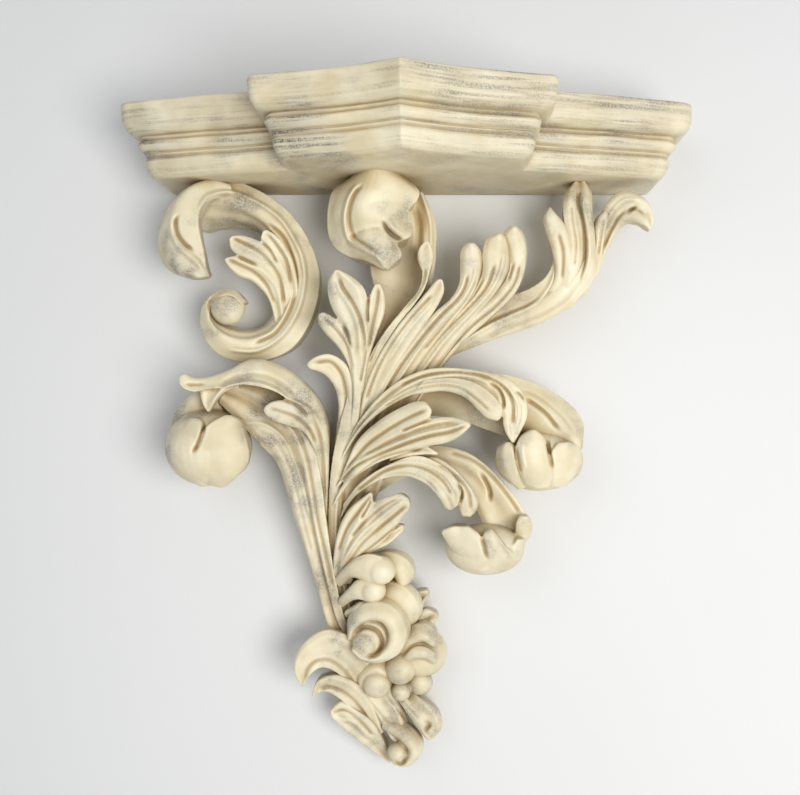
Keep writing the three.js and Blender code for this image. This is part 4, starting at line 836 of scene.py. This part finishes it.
            (0, 1, 0.6, 0, 0.6, 1.4, 0), (0, 1, 0, -1.5, -1.5, 1.4, 0), thick=22,
        ),
    ],
}

# Lines cut into the front of the pieces, as (line, half width, depth). A negative depth raises a
# ridge. The lines are drawn like the leaves.
CUTS = {
    "centre_curl": [
        ([(-21, 108), (-25, 103), (-27.5, 96), (-28, 88), (-25.5, 80), (-19, 75.5), (-12, 71.5), (-8, 67)], 1.6, -1.6),
        ([(-19, 107.5), (-22.5, 103), (-25, 96), (-25.3, 89), (-23, 82), (-17, 77.5), (-11, 73.5)], 1.5, 1.8),
        ([(-9, 90), (-7, 86), (-4.5, 83), (-1.5, 81), (2, 79.6)], 1.5, 3.4),
        ([(-6, 91), (-4, 87), (-1, 84), (3, 82.5)], 1.6, -1.2),
        ([(-6, 81), (-4.5, 77), (-5.5, 72), (-8, 68)], 1.5, -1.0),
    ],
    "c_scroll_leaf": [
        ([(-84, 81), (-77.5, 78), (-71, 74.5), (-65, 69), (-60, 61), (-58, 48)], 1.3, 1.4),
        ([(-86, 70.5), (-80, 67.5), (-73, 64), (-67, 58), (-62.5, 48)], 1.2, 1.1),
        ([(-66.5, 83.5), (-62, 78), (-57, 70), (-54.5, 58)], 1.1, 1.0),
        ([(-82, 72), (-76.5, 69.5), (-71, 67)], 1.3, 2.0),
        ([(-69, 79), (-65.5, 75.5), (-61, 68)], 1.2, 1.8),
    ],
    "c_scroll_band": [
        ([(-100, 95), (-97, 101), (-92.5, 103), (-86, 104), (-80, 103), (-72.5, 99.5), (-65, 95), (-58.5, 89),
          (-54, 82), (-50, 74), (-48, 66), (-48, 57.5), (-51.5, 44), (-60, 31.5), (-72, 24.5), (-86, 25)], 1.5, -1.5),
        ([(-66, 88), (-59, 82), (-55, 74), (-52.5, 66), (-51.8, 58), (-55, 45), (-63, 33), (-73, 28)], 1.6, 1.8),
        ([(-114.5, 92.5), (-114.5, 85), (-112, 78.5), (-107.5, 74), (-101.5, 69), (-97.5, 64)], 1.6, -1.5),
        ([(-111, 93), (-112, 89), (-111, 83), (-108, 78.5), (-103, 74.5)], 1.5, 2.2),
        ([(-84, 37.5), (-76, 36.5), (-68, 37)], 1.4, 1.6),
        ([(-93, 52), (-95.5, 47.5), (-94, 43), (-90, 39.5), (-84, 38)], 1.3, 1.6),
    ],
    "trefoil_leaf": [
        ([(-30.5, 61), (-28.5, 56), (-25, 51), (-21, 43.5), (-18.5, 35), (-17.5, 24), (-20, 8)], 1.2, 1.5),
        ([(-32, 60), (-30.3, 55), (-27, 50), (-23, 43), (-20.5, 34), (-20, 22)], 1.2, -0.9),
        ([(-39, 41.5), (-33, 36), (-27, 28), (-23.5, 15)], 1.2, 1.0),
        ([(-28.5, 38), (-26.5, 33), (-24.5, 26)], 1.2, 2.2),
        ([(-16, 52), (-16.3, 45), (-16, 38)], 1.1, 2.2),
        ([(-10.5, 56), (-11.5, 48), (-14, 36), (-17, 22)], 1.1, 1.0),
    ],
    "middle_right_leaf": [
        ([(-31, -42), (-22.5, -33.5), (-15, -29.5), (-5, -25), (5, -21), (15, -18), (25, -16), (33, -13)], 1.2, 1.3),
        ([(-31, -40), (-22.5, -31.5), (-15, -27.5), (-5, -23), (5, -19), (15, -16), (25, -14), (33, -12)], 1.2, -1.3),
        ([(-28, -37), (-17, -23), (-7, -15.5), (4, -9), (13, -5)], 1.3, 1.3),
        ([(-26, -42), (-12, -30), (0, -26), (11, -24.5)], 1.2, 1.4),
        ([(15, -10), (8, -12.5), (0, -16)], 1.2, 2.0),
        ([(-18, -28), (-6, -21), (6, -16), (18, -12.5), (28, -11)], 1.0, 0.9),
    ],
    "upper_right_leaf": [
        ([(-14, -6), (0, 5), (10, 10), (20, 12), (30, 12.4), (38, 11), (45.5, 7.5), (49.5, 3), (51, -2)], 1.3, -1.2),
        ([(0, 7), (12, 12), (24, 13.8), (40, 12.6), (48.5, 9), (54, 4), (56.5, -3), (56.5, -12)], 1.2, 1.4),
        ([(30, 14.6), (42, 13), (51, 8.5), (57, 2), (59.5, -5), (58, -15)], 1.2, -1.1),
        ([(51.8, -5), (51.8, -1), (49.5, 5), (44, 9)], 1.2, 2.4),
        ([(62.5, -1), (60.5, 2), (57.5, 5)], 1.1, 1.8),
        ([(-8, -4), (6, 4.5), (20, 7.5), (30, 6), (38, 0.5), (45, -6)], 1.2, 1.0),
    ],
    "upper_right_bud": [
        ([(57.5, -22), (58.3, -27), (59.5, -33), (60.5, -38)], 1.6, 2.2),
        ([(61, -21), (61.5, -28), (63, -35)], 1.2, -0.7),
        ([(73.5, -19), (74.3, -25), (75.5, -31), (76.3, -35)], 1.6, 2.4),
    ],
    "upper_right_stem": [
        ([(60, 5), (68, 2), (76, -4), (83, -11), (86.5, -17)], 1.6, 0.6),
        ([(62, 1), (68, -3), (73, -7), (77, -12), (80, -15.5)], 1.6, 1.8),
    ],
    "lower_right_leaf": [
        ([(-22, -46), (-8, -36), (4, -33), (13, -35), (21, -40.5), (26, -48)], 1.2, 1.3),
        ([(-22, -44), (-8, -34), (4, -31), (14, -32.8), (23, -38.5), (28, -46)], 1.1, -1.0),
        ([(18, -31.5), (27, -37.5), (34, -46), (35.5, -55)], 1.2, 1.2),
        ([(28.5, -41), (30.8, -46), (30, -51.5)], 1.2, 2.4),
        ([(-10, -38.3), (3, -36.5), (12, -39.5), (19, -46)], 1.0, 0.9),
    ],
    "lower_right_bud": [
        ([(40.5, -67.5), (41.8, -72), (43, -77), (44, -80)], 1.6, 2.2),
        ([(50, -70), (53, -75), (56, -79)], 1.4, 1.4),
    ],
    "lower_right_stem": [
        ([(40, -36), (43, -41), (45, -46), (45, -51)], 1.6, 2.4),
        ([(24, -26), (36, -30), (46, -38), (54, -48), (60, -57)], 1.4, 1.2),
    ],
    "left_over_leaf": [
        ([(-94.5, -3), (-91.5, 2), (-86, 7), (-77.5, 9), (-70, 8.2), (-62, 5), (-54, -1)], 1.5, -1.3),
        ([(-91, 6.5), (-85, 10.5), (-76, 12.8), (-67, 12), (-59, 8), (-51, 1)], 2.2, 0.8),
        ([(-108, 8), (-103, 7.5), (-97, 8)], 1.3, 1.0),
        ([(-44, -6), (-40.5, -16), (-38.5, -30), (-38, -50)], 1.4, 1.0),
        ([(-66, -4), (-60, -5.5), (-52, -8.5), (-46, -14), (-42, -22)], 1.3, 1.4),
        ([(-59, 0.5), (-52, -2.5), (-46, -8)], 1.4, 2.4),
    ],
    "left_bud": [
        ([(-98.8, -10), (-98.3, -14), (-99.5, -18), (-101.5, -23), (-104, -27)], 1.6, 2.6),
    ],
    "left_stem": [
        ([(-79, -12), (-70, -11.5), (-62.5, -15), (-57, -21), (-53, -30), (-49, -43), (-45.5, -58)], 1.3, -0.9),
        ([(-72, -15), (-65, -18), (-60, -24), (-56, -32), (-52, -45), (-48.5, -60), (-44, -77)], 1.5, 0.7),
        ([(-60, -7), (-52, -15), (-47, -27), (-44, -42), (-41.5, -58), (-37.5, -76), (-33.5, -94)], 1.5, 1.2),
    ],
    "small_left_curl": [
        ([(-43, 18.5), (-35, 19), (-30, 14), (-27.5, 6), (-27, -6), (-29, -24)], 1.3, 1.3),
    ],
    "fan_leaf_1": [
        ([(13, 66), (12, 60), (8, 52), (-1, 42.5), (-9, 33), (-16, 18)], 1.1, 1.3),
        ([(11.5, 63), (7, 54), (-3, 43), (-11, 32)], 1.0, -0.7),
    ],
    "fan_leaf_2": [
        ([(16, 52.5), (7, 43), (-3, 30), (-11, 16), (-17, 0)], 1.2, 1.3),
        ([(16, 49), (4, 35), (-6, 20)], 1.0, -0.8),
    ],
    "fan_leaf_3": [
        ([(34, 63), (32.5, 57), (29, 51), (20, 42), (9, 29), (-4, 10), (-14, -14)], 1.2, 1.4),
        ([(38, 68), (37, 61), (31.5, 50.5), (22, 41), (11, 27.5), (-2, 8)], 1.1, -1.2),
        ([(38.5, 60), (33, 49.5), (24, 39.5), (12, 25)], 1.0, 0.9),
    ],
    "fan_leaf_4": [
        ([(47.5, 68), (43.5, 57), (33, 45), (19, 31), (4, 10), (-10, -18)], 1.2, 1.4),
        ([(52, 73), (50.5, 65), (46, 55.5), (36, 44), (22, 29.5), (7, 8)], 1.2, -1.3),
        ([(42, 61), (36, 51), (24, 38), (10, 20)], 1.0, 1.0),
    ],
    "fan_leaf_5": [
        ([(60, 68), (57, 58), (48, 47), (36, 37), (22, 22), (6, -2)], 1.2, 1.4),
        ([(62, 73), (62, 66), (58.5, 56), (50, 45.5), (38, 35)], 1.1, -1.0),
        ([(57, 69), (54, 59)], 1.1, 1.2),
    ],
    "plume_tip_1": [
        ([(79, 84), (81.5, 74), (81, 60)], 1.2, 1.2),
    ],
    "plume_tip_2": [
        ([(89.5, 104.5), (89, 98.5), (90.5, 93.5), (91.8, 87), (92.5, 77.5), (92, 69), (89, 61.5), (83, 54)], 1.3, 2.0),
        ([(92, 103), (91.8, 96), (93.5, 88), (94.8, 78), (94, 68), (90.5, 59)], 1.2, -1.3),
        ([(85.5, 98), (86.5, 88), (88, 78), (87, 66)], 1.1, 1.0),
    ],
    "plume_tip_3": [([(102, 91), (100.5, 82), (99, 72)], 1.0, 1.0)],
    "plume_curl": [
        ([(113, 93), (118.5, 97)], 1.3, 2.4),
        ([(123, 92), (117, 95.5), (111, 93), (106, 86), (101.5, 76)], 1.3, 1.2),
        ([(120, 100), (112, 100), (106, 94), (102, 86)], 1.2, -1.0),
    ],
    "plume_stem": [
        ([(78, 66), (74.5, 56), (66, 47.5), (55, 42), (44, 37), (30, 28), (14, 14)], 1.3, -1.3),
        ([(80, 70), (77, 58), (68, 49.5), (56, 44.5), (44, 39.5)], 1.6, 0.9),
        ([(92, 62), (84, 50.5), (72, 42.5), (58, 37), (42, 30)], 2.0, 0.7),
    ],
    "lower_leaf": [
        ([(2, -50), (-5, -55), (-13, -61.5), (-21, -69), (-28, -80)], 1.3, -1.2),
        ([(3, -53), (-3, -58), (-11, -64.5), (-19, -72), (-26, -82)], 1.2, 1.3),
        ([(-1, -48.8), (-9, -53.5), (-17, -60.5), (-25, -69)], 1.1, 1.2),
        ([(-14.5, -48), (-20, -55), (-26.5, -64), (-31, -76)], 1.2, 1.2),
        ([(0, -62), (-6, -66.5), (-14, -73), (-22, -80)], 1.2, 1.6),
        ([(-14, -49), (-16.5, -54), (-20, -60)], 1.1, 2.0),
    ],
    "snail_volute": [
        ([(-23, -116.5), (-17.5, -113.6), (-11.5, -115.5), (-9, -121), (-11.5, -127), (-17.5, -129)], 1.8, 2.6),
    ],
    "cluster_lobe": [
        ([(1, -128), (7, -122.6), (13, -122.6), (18, -126)], 1.2, 1.2),
    ],
    "tail_leaf_1": [
        ([(-48, -141), (-46.5, -135), (-42, -130.5), (-35.5, -130), (-28, -135), (-21, -146)], 1.4, 1.0),
    ],
    "tail_leaf_2": [
        ([(-41, -146), (-36, -143.5), (-30, -145), (-23, -150), (-16, -160)], 1.3, 1.0),
    ],
    "tail_leaf_3": [
        ([(-33.5, -156), (-28, -155), (-21, -159.5), (-13, -168)], 1.2, 1.3),
        ([(-30, -159.5), (-24, -161), (-15, -169)], 1.1, -0.8),
    ],
    "tail_stem": [
        ([(-19, -147.5), (-11, -156), (-4, -163.5)], 1.4, 1.0),
        ([(-7, -148), (-1, -155), (5, -162)], 1.4, 1.0),
    ],
    "tail_curl": [([(4, -178), (0.5, -182), (-4, -180)], 1.4, 1.6)],
    "tail_knob": [
        ([(12.5, -160), (14.5, -162.5), (13, -165), (14.5, -168)], 1.8, 2.6),
        ([(-1, -148), (5, -155), (10, -160)], 1.3, 1.0),
    ],
    "centre_stem": [
        ([(-31, -45), (-32, -62), (-31, -80), (-27, -98), (-23, -112)], 1.3, -1.4),
        ([(-28, -45), (-28.5, -62), (-28, -80), (-25, -96)], 1.2, 1.2),
        ([(6, 99), (9, 90), (9.5, 80), (8, 68)], 2.6, 1.6),
        ([(12, 100), (15, 90), (15.5, 79), (14, 67)], 1.3, -0.9),
    ],
    "back_lobe_3": [([(12.5, -97.5), (8, -102), (3, -109)], 1.1, 1.0)],
    "back_lobe_4": [([(17, -108), (12, -110.5), (7, -116)], 1.1, 1.0)],
}


# ---------- shelf ----------
SHELF_HALF_WIDTH = 131.0
SHELF_DEPTH = 104.0
BLOCK_HALF_WIDTH = 65.0
WING_ROOT_DEPTH = 62.0
RIGHT_PLAN = [
    (0, SHELF_DEPTH, 0.8),
    (12, 98, 6),
    (28, 91, 8),
    (45, 87, 8),
    (BLOCK_HALF_WIDTH, 83, 4),
    (BLOCK_HALF_WIDTH + 0.5, WING_ROOT_DEPTH, 0.6),
    (98, 54.5, 10),
    (SHELF_HALF_WIDTH, 45, 6),
    (SHELF_HALF_WIDTH, 0, 0),
]
# Levels of the moulding as (height, inset) from the underside up.
MOULDING = [
    (-16.3, 15.2),
    (-16.0, 13.4),
    (-15.0, 11.8),
    (-13.2, 10.4),
    (-11.0, 9.6),
    (-9.0, 9.2),
    (-8.0, 9.6),
    (-7.2, 10.2),
    (-6.7, 9.4),
    (-6.2, 8.5),
    (-5.7, 9.2),
    (-5.2, 9.5),
    (-4.4, 8.2),
    (-3.2, 7.1),
    (-1.6, 6.5),
    (-0.6, 6.8),
    (0.1, 7.5),
    (0.5, 6.8),
    (1.0, 5.8),
    (1.5, 6.4),
    (2.0, 6.7),
    (2.8, 4.4),
    (4.2, 2.3),
    (6.5, 1.0),
    (9.0, 0.5),
    (12.0, 0.4),
    (14.5, 0.1),
    (15.6, 0.3),
    (16.1, 1.0),
    (16.25, 2.2),
]
# The most of an edge that the easing of one corner may take, so that two never overlap.
EASE_SHARE = 0.48
VALLEYS = (-6.2, 1.0)
NOTCH = 3.4
NOTCH_REACH = 8.0
RUN_BACK = 97.0
MITRE_BACK = 24.0
WOBBLE = 0.45
WOBBLE_SCALE = 0.045
WOBBLE_SEED = 7


def mirrored(right):
    left = [(-x, depth, soft) for x, depth, soft in right[1:]]
    return right + left[::-1]


def inset_plan(plan, inset):
    """The plan moved inwards. The two ends on the wall only slide along it."""
    moved = []
    for i, (x, depth, soft) in enumerate(plan):
        if depth == 0:
            moved.append((x - math.copysign(inset, x), 0.0, soft))
            continue
        a = edge_normal(plan[i - 1], plan[i])
        b = edge_normal(plan[i], plan[(i + 1) % len(plan)])
        share = inset / (1 + a[0] * b[0] + a[1] * b[1])
        moved.append((x + (a[0] + b[0]) * share, depth + (a[1] + b[1]) * share, soft))
    return moved


def edge_normal(start, end):
    length = math.dist(start[:2], end[:2])
    return (end[1] - start[1]) / length, (start[0] - end[0]) / length


def rounded_path(plan, arc_steps, edge_steps):
    """An open path along the plan from the right wall end to the left, with its corners eased."""
    middle = len(plan) // 2
    ordered = [plan[i] for i in range(middle, -1, -1)] + [plan[-i] for i in range(1, middle + 1)]
    path = []
    for i, corner in enumerate(ordered):
        here = Vector(corner[:2])
        if i in (0, len(ordered) - 1):
            arc = [here]
        else:
            back = Vector(ordered[i - 1][:2]) - here
            ahead = Vector(ordered[i + 1][:2]) - here
            reach = min(corner[2], EASE_SHARE * back.length, EASE_SHARE * ahead.length)
            before = here + back.normalized() * reach
            after = here + ahead.normalized() * reach
            arc = []
            for k in range(arc_steps + 1):
                t = k / arc_steps
                arc.append(before * (1 - t) ** 2 + here * 2 * t * (1 - t) + after * t**2)
        if path:
            start = path[-1]
            path += [start.lerp(arc[0], k / edge_steps) for k in range(1, edge_steps)]
        path += arc
    return np.array(path)


def shelf_skin():
    """The whole moulded edge as one grid of points: levels by places along the front."""
    heights = np.array([level[0] for level in MOULDING])
    insets = np.array([level[1] for level in MOULDING])
    run = np.concatenate([[0], np.cumsum(np.hypot(np.diff(heights), np.diff(insets)))])
    even = np.linspace(0, run[-1], 96)
    plan = mirrored(RIGHT_PLAN)
    grid = []
    for height, inset in zip(np.interp(even, run, heights), np.interp(even, run, insets)):
        path = rounded_path(inset_plan(plan, inset), 8, 18)
        grid.append(np.column_stack([path[:, 0], -path[:, 1], np.full(len(path), height)]))
    return hand_worn(notch_ends(np.array(grid)))


def notch_ends(grid):
    """At the ends of each length the valleys between the bands run in deeper, so that every band
    ends in its own rounded lobe."""
    notched = grid.copy()
    for corner_x, depth in ((BLOCK_HALF_WIDTH, 80), (SHELF_HALF_WIDTH, 38)):
        for side in (1, -1):
            apart = np.hypot(grid[..., 0] - side * corner_x, grid[..., 1] + depth)
            near = np.exp(-((apart / NOTCH_REACH) ** 2))
            deep = sum(np.exp(-(((grid[..., 2] - z) / 1.5) ** 2)) for z in VALLEYS)
            notched[..., 0] -= side * NOTCH * near * deep
            notched[..., 1] += 0.5 * NOTCH * near * deep
    return notched


def hand_worn(grid):
    """Uneven by a fraction of a millimetre, as a thing finished by hand is. The wall side stays."""
    turbulence.seed_set(WOBBLE_SEED)
    worn = grid.copy()
    for row in range(1, len(grid)):
        for place in range(1, grid.shape[1] - 1):
            here = Vector(grid[row, place]) * WOBBLE_SCALE
            stretched = Vector((here.x, here.y, here.z * 3))
            slow = turbulence.noise_vector(stretched)
            quick = turbulence.noise_vector(stretched * 4)
            worn[row, place] += np.array(slow * WOBBLE + quick * WOBBLE * 0.35) * (1, 1, 0.5)
    worn[:, :, 1] = np.minimum(worn[:, :, 1], 0)
    worn[:, :, 2] = np.clip(worn[:, :, 2], SHELF_BOTTOM - 0.05, SHELF_TOP + 0.2)
    return worn


def moulding_lengths(material):
    """Cuts the moulded edge at its mitres. Each length runs back under and over the core."""
    grid = shelf_skin()
    path = grid[-1]
    mitres = [np.argmin(np.hypot(path[:, 0] - side * 65, path[:, 1] + 63)) for side in (1, -1)]
    cuts = [0, mitres[0], len(path) // 2, mitres[1], len(path) - 1]
    steps = np.linalg.norm(np.diff(path, axis=0), axis=1)
    run = np.concatenate([[0], np.cumsum(steps)])
    across = np.interp(run, run[cuts], (RUN_BACK, MITRE_BACK, 0, -MITRE_BACK, -RUN_BACK))
    wall = np.outer(across, (1, 0, 0)) + (0, -0.5, 0)
    inner_top = wall + (0, 0, SHELF_TOP - 0.1)
    inner_low = wall + (0, 0, SHELF_BOTTOM - 0.05)
    rings = np.concatenate([grid, inner_top[None], inner_low[None]]).transpose(1, 0, 2)
    names = ["moulding_wing_right", "moulding_centre_right", "moulding_centre_left", "moulding_wing_left"]
    for name, start, end in zip(names, cuts, cuts[1:]):
        vertices, faces = skin(rings[start : end + 1])
        piece = mesh_object(name + "_run", vertices, faces)
        piece.data.set_sharp_from_angle(angle=math.radians(50))
        store_hollows(piece.data)
        finish_piece(piece, material, name)


# ---------- materials ----------
def node(tree, kind, links=None, **settings):
    """Adds a shader node. Settings name its inputs or its properties; links feed its inputs."""
    made = tree.nodes.new(kind)
    for key, value in settings.items():
        if hasattr(made, key):
            setattr(made, key, value)
        else:
            made.inputs[key.replace("_", " ")].default_value = value
    for key, source in (links or {}).items():
        tree.links.new(source, made.inputs[key])
    return made


def ramp(tree, source, stops):
    made = node(tree, "ShaderNodeValToRGB", {"Fac": source})
    elements = made.color_ramp.elements
    while len(elements) < len(stops):
        elements.new(0.5)
    for element, (place, colour) in zip(elements, stops):
        element.position = place
        element.color = (*colour, 1) if len(colour) == 3 else colour
    return made.outputs["Color"]


def grey(value):
    return (value, value, value)


def mix(tree, share, first, last, mode="MIX"):
    made = tree.nodes.new("ShaderNodeMix")
    made.data_type = "RGBA"
    made.blend_type = mode
    for socket, value in ((made.inputs[0], share), (made.inputs[6], first), (made.inputs[7], last)):
        if isinstance(value, bpy.types.NodeSocket):
            tree.links.new(value, socket)
        else:
            socket.default_value = value if isinstance(value, (int, float)) else (*value, 1)
    return made.outputs[2]


def multiply(tree, first, last):
    made = tree.nodes.new("ShaderNodeMath")
    made.operation = "MULTIPLY"
    for socket, value in zip(made.inputs, (first, last)):
        if isinstance(value, bpy.types.NodeSocket):
            tree.links.new(value, socket)
        else:
            socket.default_value = value
    return made.outputs[0]


# OCHRE and UMBER also paint shade into the hollows and creases, CREAM also paints a highlight on the crests.
IVORY = (0.73, 0.635, 0.42)
CREAM = (0.87, 0.80, 0.59)
OCHRE = (0.41, 0.28, 0.11)
UMBER = (0.14, 0.08, 0.032)
HAZE = (0.35, 0.31, 0.235)
DRY_BRUSH = (0.085, 0.083, 0.085)


def noise(tree, place, scale, detail=4.0, stretch=(1, 1, 1)):
    moved = node(tree, "ShaderNodeMapping", {"Vector": place}, Scale=stretch)
    made = node(tree, "ShaderNodeTexNoise", {"Vector": moved.outputs[0]}, Scale=scale, Detail=detail)
    return made.outputs["Fac"]


def ivory_patina_and_painted_light(name, brush, haze, streaks, fleck, soft, crease_brown_and_shade):
    """Ivory paint with an ochre glazing in the hollows that also paints the shade there, darkest in the
    deepest creases, worn cream on the crests that also paints a highlight there, and a dry
    brush of grey, heavier towards the left. brush is how much grey there is, haze how much of it
    is smeared thin, streaks the stretch of its marks along x, y and z, fleck how far up its
    patches start, soft how gently they fade in, and the last argument how brown the creases are,
    as glazing and painted shade."""
    material = bpy.data.materials.new(name)
    material.use_nodes = True
    tree = material.node_tree
    surface = tree.nodes["Principled BSDF"]
    place = node(tree, "ShaderNodeTexCoord").outputs["Object"]
    hollow = node(tree, "ShaderNodeAttribute", attribute_name="hollow").outputs["Fac"]
    open_sky = node(tree, "ShaderNodeAmbientOcclusion", samples=8, Distance=0.016).outputs["AO"]

    mottled = ramp(tree, noise(tree, place, 55, 5), [(0.36, IVORY), (0.62, CREAM)])
    # Ochre mixed in where the ambient occlusion finds the surface closed in: partly glazing, partly painted shade in
    # the recesses.
    shade = ramp(tree, open_sky, [(0.1, grey(1)), (0.85, grey(0))])
    recess_ochre_and_shade = mix(tree, multiply(tree, shade, 0.9), mottled, OCHRE)
    # Ochre in the creases and umber in the deepest ones: partly glazing, partly painted shade.
    creases = ramp(tree, hollow, [(0.01, grey(0)), (0.16, grey(1))])
    crease_ochre_and_shade = mix(tree, multiply(tree, creases, crease_brown_and_shade), recess_ochre_and_shade, OCHRE)
    deepest = ramp(tree, hollow, [(0.12, grey(0)), (0.4, grey(1))])
    darkened = mix(tree, multiply(tree, deepest, 0.75 * crease_brown_and_shade), crease_ochre_and_shade, UMBER)
    # Cream on the crests: partly worn paint, partly a painted highlight.
    crests = ramp(tree, multiply(tree, hollow, -1), [(0.02, grey(0)), (0.12, grey(1))])
    crest_cream_and_highlight = mix(tree, multiply(tree, crests, 0.55), darkened, CREAM)

    across = node(tree, "ShaderNodeSeparateXYZ", {"Vector": place}).outputs["X"]
    leftward = node(tree, "ShaderNodeMapRange", {"Value": across}, From_Min=0.12, From_Max=-0.12)
    hand = ramp(tree, leftward.outputs[0], [(0.0, grey(0.65)), (0.5, grey(0.7)), (0.8, grey(1))])
    patches = ramp(tree, noise(tree, place, 26, 3), [(fleck, grey(0)), (fleck + soft, grey(1))])
    handled = multiply(tree, patches, hand)
    hazed = mix(tree, multiply(tree, handled, haze), crest_cream_and_highlight, HAZE)
    marks = ramp(tree, noise(tree, place, 100, 6, streaks), [(0.46, grey(0)), (0.6, grey(1))])
    grains = ramp(tree, noise(tree, place, 1500, 2), [(0.4, grey(0.25)), (0.58, grey(1))])
    brushed = multiply(tree, multiply(tree, marks, grains), handled)
    colour = mix(tree, multiply(tree, brushed, brush), hazed, DRY_BRUSH)
    tree.links.new(colour, surface.inputs["Base Color"])

    rough = ramp(tree, noise(tree, place, 90, 3), [(0.3, grey(0.4)), (0.7, grey(0.58))])
    tree.links.new(rough, surface.inputs["Roughness"])
    bumps = {"Height": noise(tree, place, 260, 6)}
    relief = node(tree, "ShaderNodeBump", bumps, Strength=0.3, Distance=0.0004)
    tree.links.new(relief.outputs[0], surface.inputs["Normal"])
    return material


def plain_metal():
    material = bpy.data.materials.new("zinc")
    material.use_nodes = True
    tree = material.node_tree
    surface = tree.nodes["Principled BSDF"]
    place = node(tree, "ShaderNodeTexCoord").outputs["Object"]
    spangle = noise(tree, place, 400, 3, (1, 1, 0.2))
    tree.links.new(ramp(tree, spangle, [(0.3, grey(0.42)), (0.7, grey(0.62))]), surface.inputs["Base Color"])
    tree.links.new(ramp(tree, spangle, [(0.3, grey(0.3)), (0.7, grey(0.45))]), surface.inputs["Roughness"])
    surface.inputs["Metallic"].default_value = 1.0
    return material


def beech_wood():
    material = bpy.data.materials.new("beech")
    material.use_nodes = True
    tree = material.node_tree
    surface = tree.nodes["Principled BSDF"]
    place = node(tree, "ShaderNodeTexCoord").outputs["Object"]
    grain = noise(tree, place, 500, 4, (1, 1, 0.08))
    colours = [(0.35, (0.45, 0.28, 0.14)), (0.65, (0.62, 0.43, 0.24))]
    tree.links.new(ramp(tree, grain, colours), surface.inputs["Base Color"])
    surface.inputs["Roughness"].default_value = 0.6
    return material


# ---------- stage ----------
WALL_GAP_LIGHT = 0.004


def stage():
    wall = quad("wall", [(-1.5, 0.001, -0.9), (1.5, 0.001, -0.9), (1.5, 0.001, 0.9), (-1.5, 0.001, 0.9)])
    floor = quad("floor", [(-1.5, -2.5, -0.9), (1.5, -2.5, -0.9), (1.5, 0.001, -0.9), (-1.5, 0.001, -0.9)])
    material = bpy.data.materials.new("pale_wall")
    material.use_nodes = True
    tree = material.node_tree
    surface = tree.nodes["Principled BSDF"]
    place = node(tree, "ShaderNodeTexCoord").outputs["Object"]
    tone = ramp(tree, noise(tree, place, 3, 3), [(0.3, (0.77, 0.775, 0.77)), (0.7, (0.80, 0.805, 0.80))])
    tree.links.new(tone, surface.inputs["Base Color"])
    surface.inputs["Roughness"].default_value = 0.9
    clear = node(tree, "ShaderNodeBsdfTransparent")
    behind = node(tree, "ShaderNodeNewGeometry").outputs["Backfacing"]
    # The gap to the wall is so narrow that the back would stay black, so light passes there.
    flown = node(tree, "ShaderNodeLightPath").outputs["Ray Length"]
    close = node(tree, "ShaderNodeMath", operation="LESS_THAN")
    tree.links.new(flown, close.inputs[0])
    close.inputs[1].default_value = WALL_GAP_LIGHT
    open_to_light = node(tree, "ShaderNodeMath", operation="MAXIMUM")
    tree.links.new(behind, open_to_light.inputs[0])
    tree.links.new(close.outputs[0], open_to_light.inputs[1])
    one_sided = tree.nodes.new("ShaderNodeMixShader")
    tree.links.new(open_to_light.outputs[0], one_sided.inputs[0])
    tree.links.new(surface.outputs[0], one_sided.inputs[1])
    tree.links.new(clear.outputs[0], one_sided.inputs[2])
    tree.links.new(one_sided.outputs[0], tree.nodes["Material Output"].inputs["Surface"])
    for piece in (wall, floor):
        piece.data.materials.append(material)


def quad(name, corners):
    mesh = bpy.data.meshes.new(name)
    mesh.from_pydata(corners, [], [(0, 1, 2, 3)])
    piece = bpy.data.objects.new(name, mesh)
    bpy.context.scene.collection.objects.link(piece)
    return piece


def area_light(name, place, target, size, power, colour):
    light = bpy.data.lights.new(name, "AREA")
    light.shape = "DISK"
    light.size = size
    light.energy = power
    light.color = colour
    lamp = bpy.data.objects.new(name, light)
    lamp.location = place
    lamp.rotation_euler = (Vector(target) - Vector(place)).to_track_quat("-Z", "Y").to_euler()
    bpy.context.scene.collection.objects.link(lamp)


def studio_light():
    middle = (0, -0.03, -0.12)
    area_light("key", (0.34, -0.75, -0.24), middle, 0.5, 5.2, (1.0, 0.985, 0.96))
    area_light("fill", (-0.5, -0.9, 0.25), middle, 0.9, 2.0, (0.95, 0.97, 1.0))
    world = bpy.data.worlds.new("studio")
    world.use_nodes = True
    world.node_tree.nodes["Background"].inputs["Color"].default_value = (0.93, 0.95, 1.0, 1)
    world.node_tree.nodes["Background"].inputs["Strength"].default_value = 0.34
    bpy.context.scene.world = world
    bpy.context.scene.view_settings.view_transform = "Standard"


def camera():
    lens = bpy.data.cameras.new("camera")
    lens.sensor_width = 36
    lens.lens = 43.2
    lens.shift_x = -0.0575
    lens.shift_y = 0.003
    view = bpy.data.objects.new("camera", lens)
    view.location = EYE * MM
    view.rotation_euler = (math.pi / 2, 0, 0)
    bpy.context.scene.collection.objects.link(view)
    bpy.context.scene.camera = view


# ---------- assembly ----------
camera()
carved_ivory = ivory_patina_and_painted_light("carved_ivory", 0.65, 0.3, (1.0, 1.0, 1.0), 0.47, 0.13, 0.7)
moulded_ivory = ivory_patina_and_painted_light("moulded_ivory", 1.0, 0.5, (0.3, 0.3, 7.0), 0.33, 0.3, 0.4)
for name, lobes in SPRAY.items():
    carve(name, lobes, carved_ivory)
moulding_lengths(moulded_ivory)
cad_materials = {"hanger": plain_metal(), "dowel": beech_wood(), "shelf_core": moulded_ivory}
for name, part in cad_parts.items():
    for start, material in cad_materials.items():
        if name.startswith(start):
            part.data.materials.clear()
            part.data.materials.append(material)
stage()
studio_light()
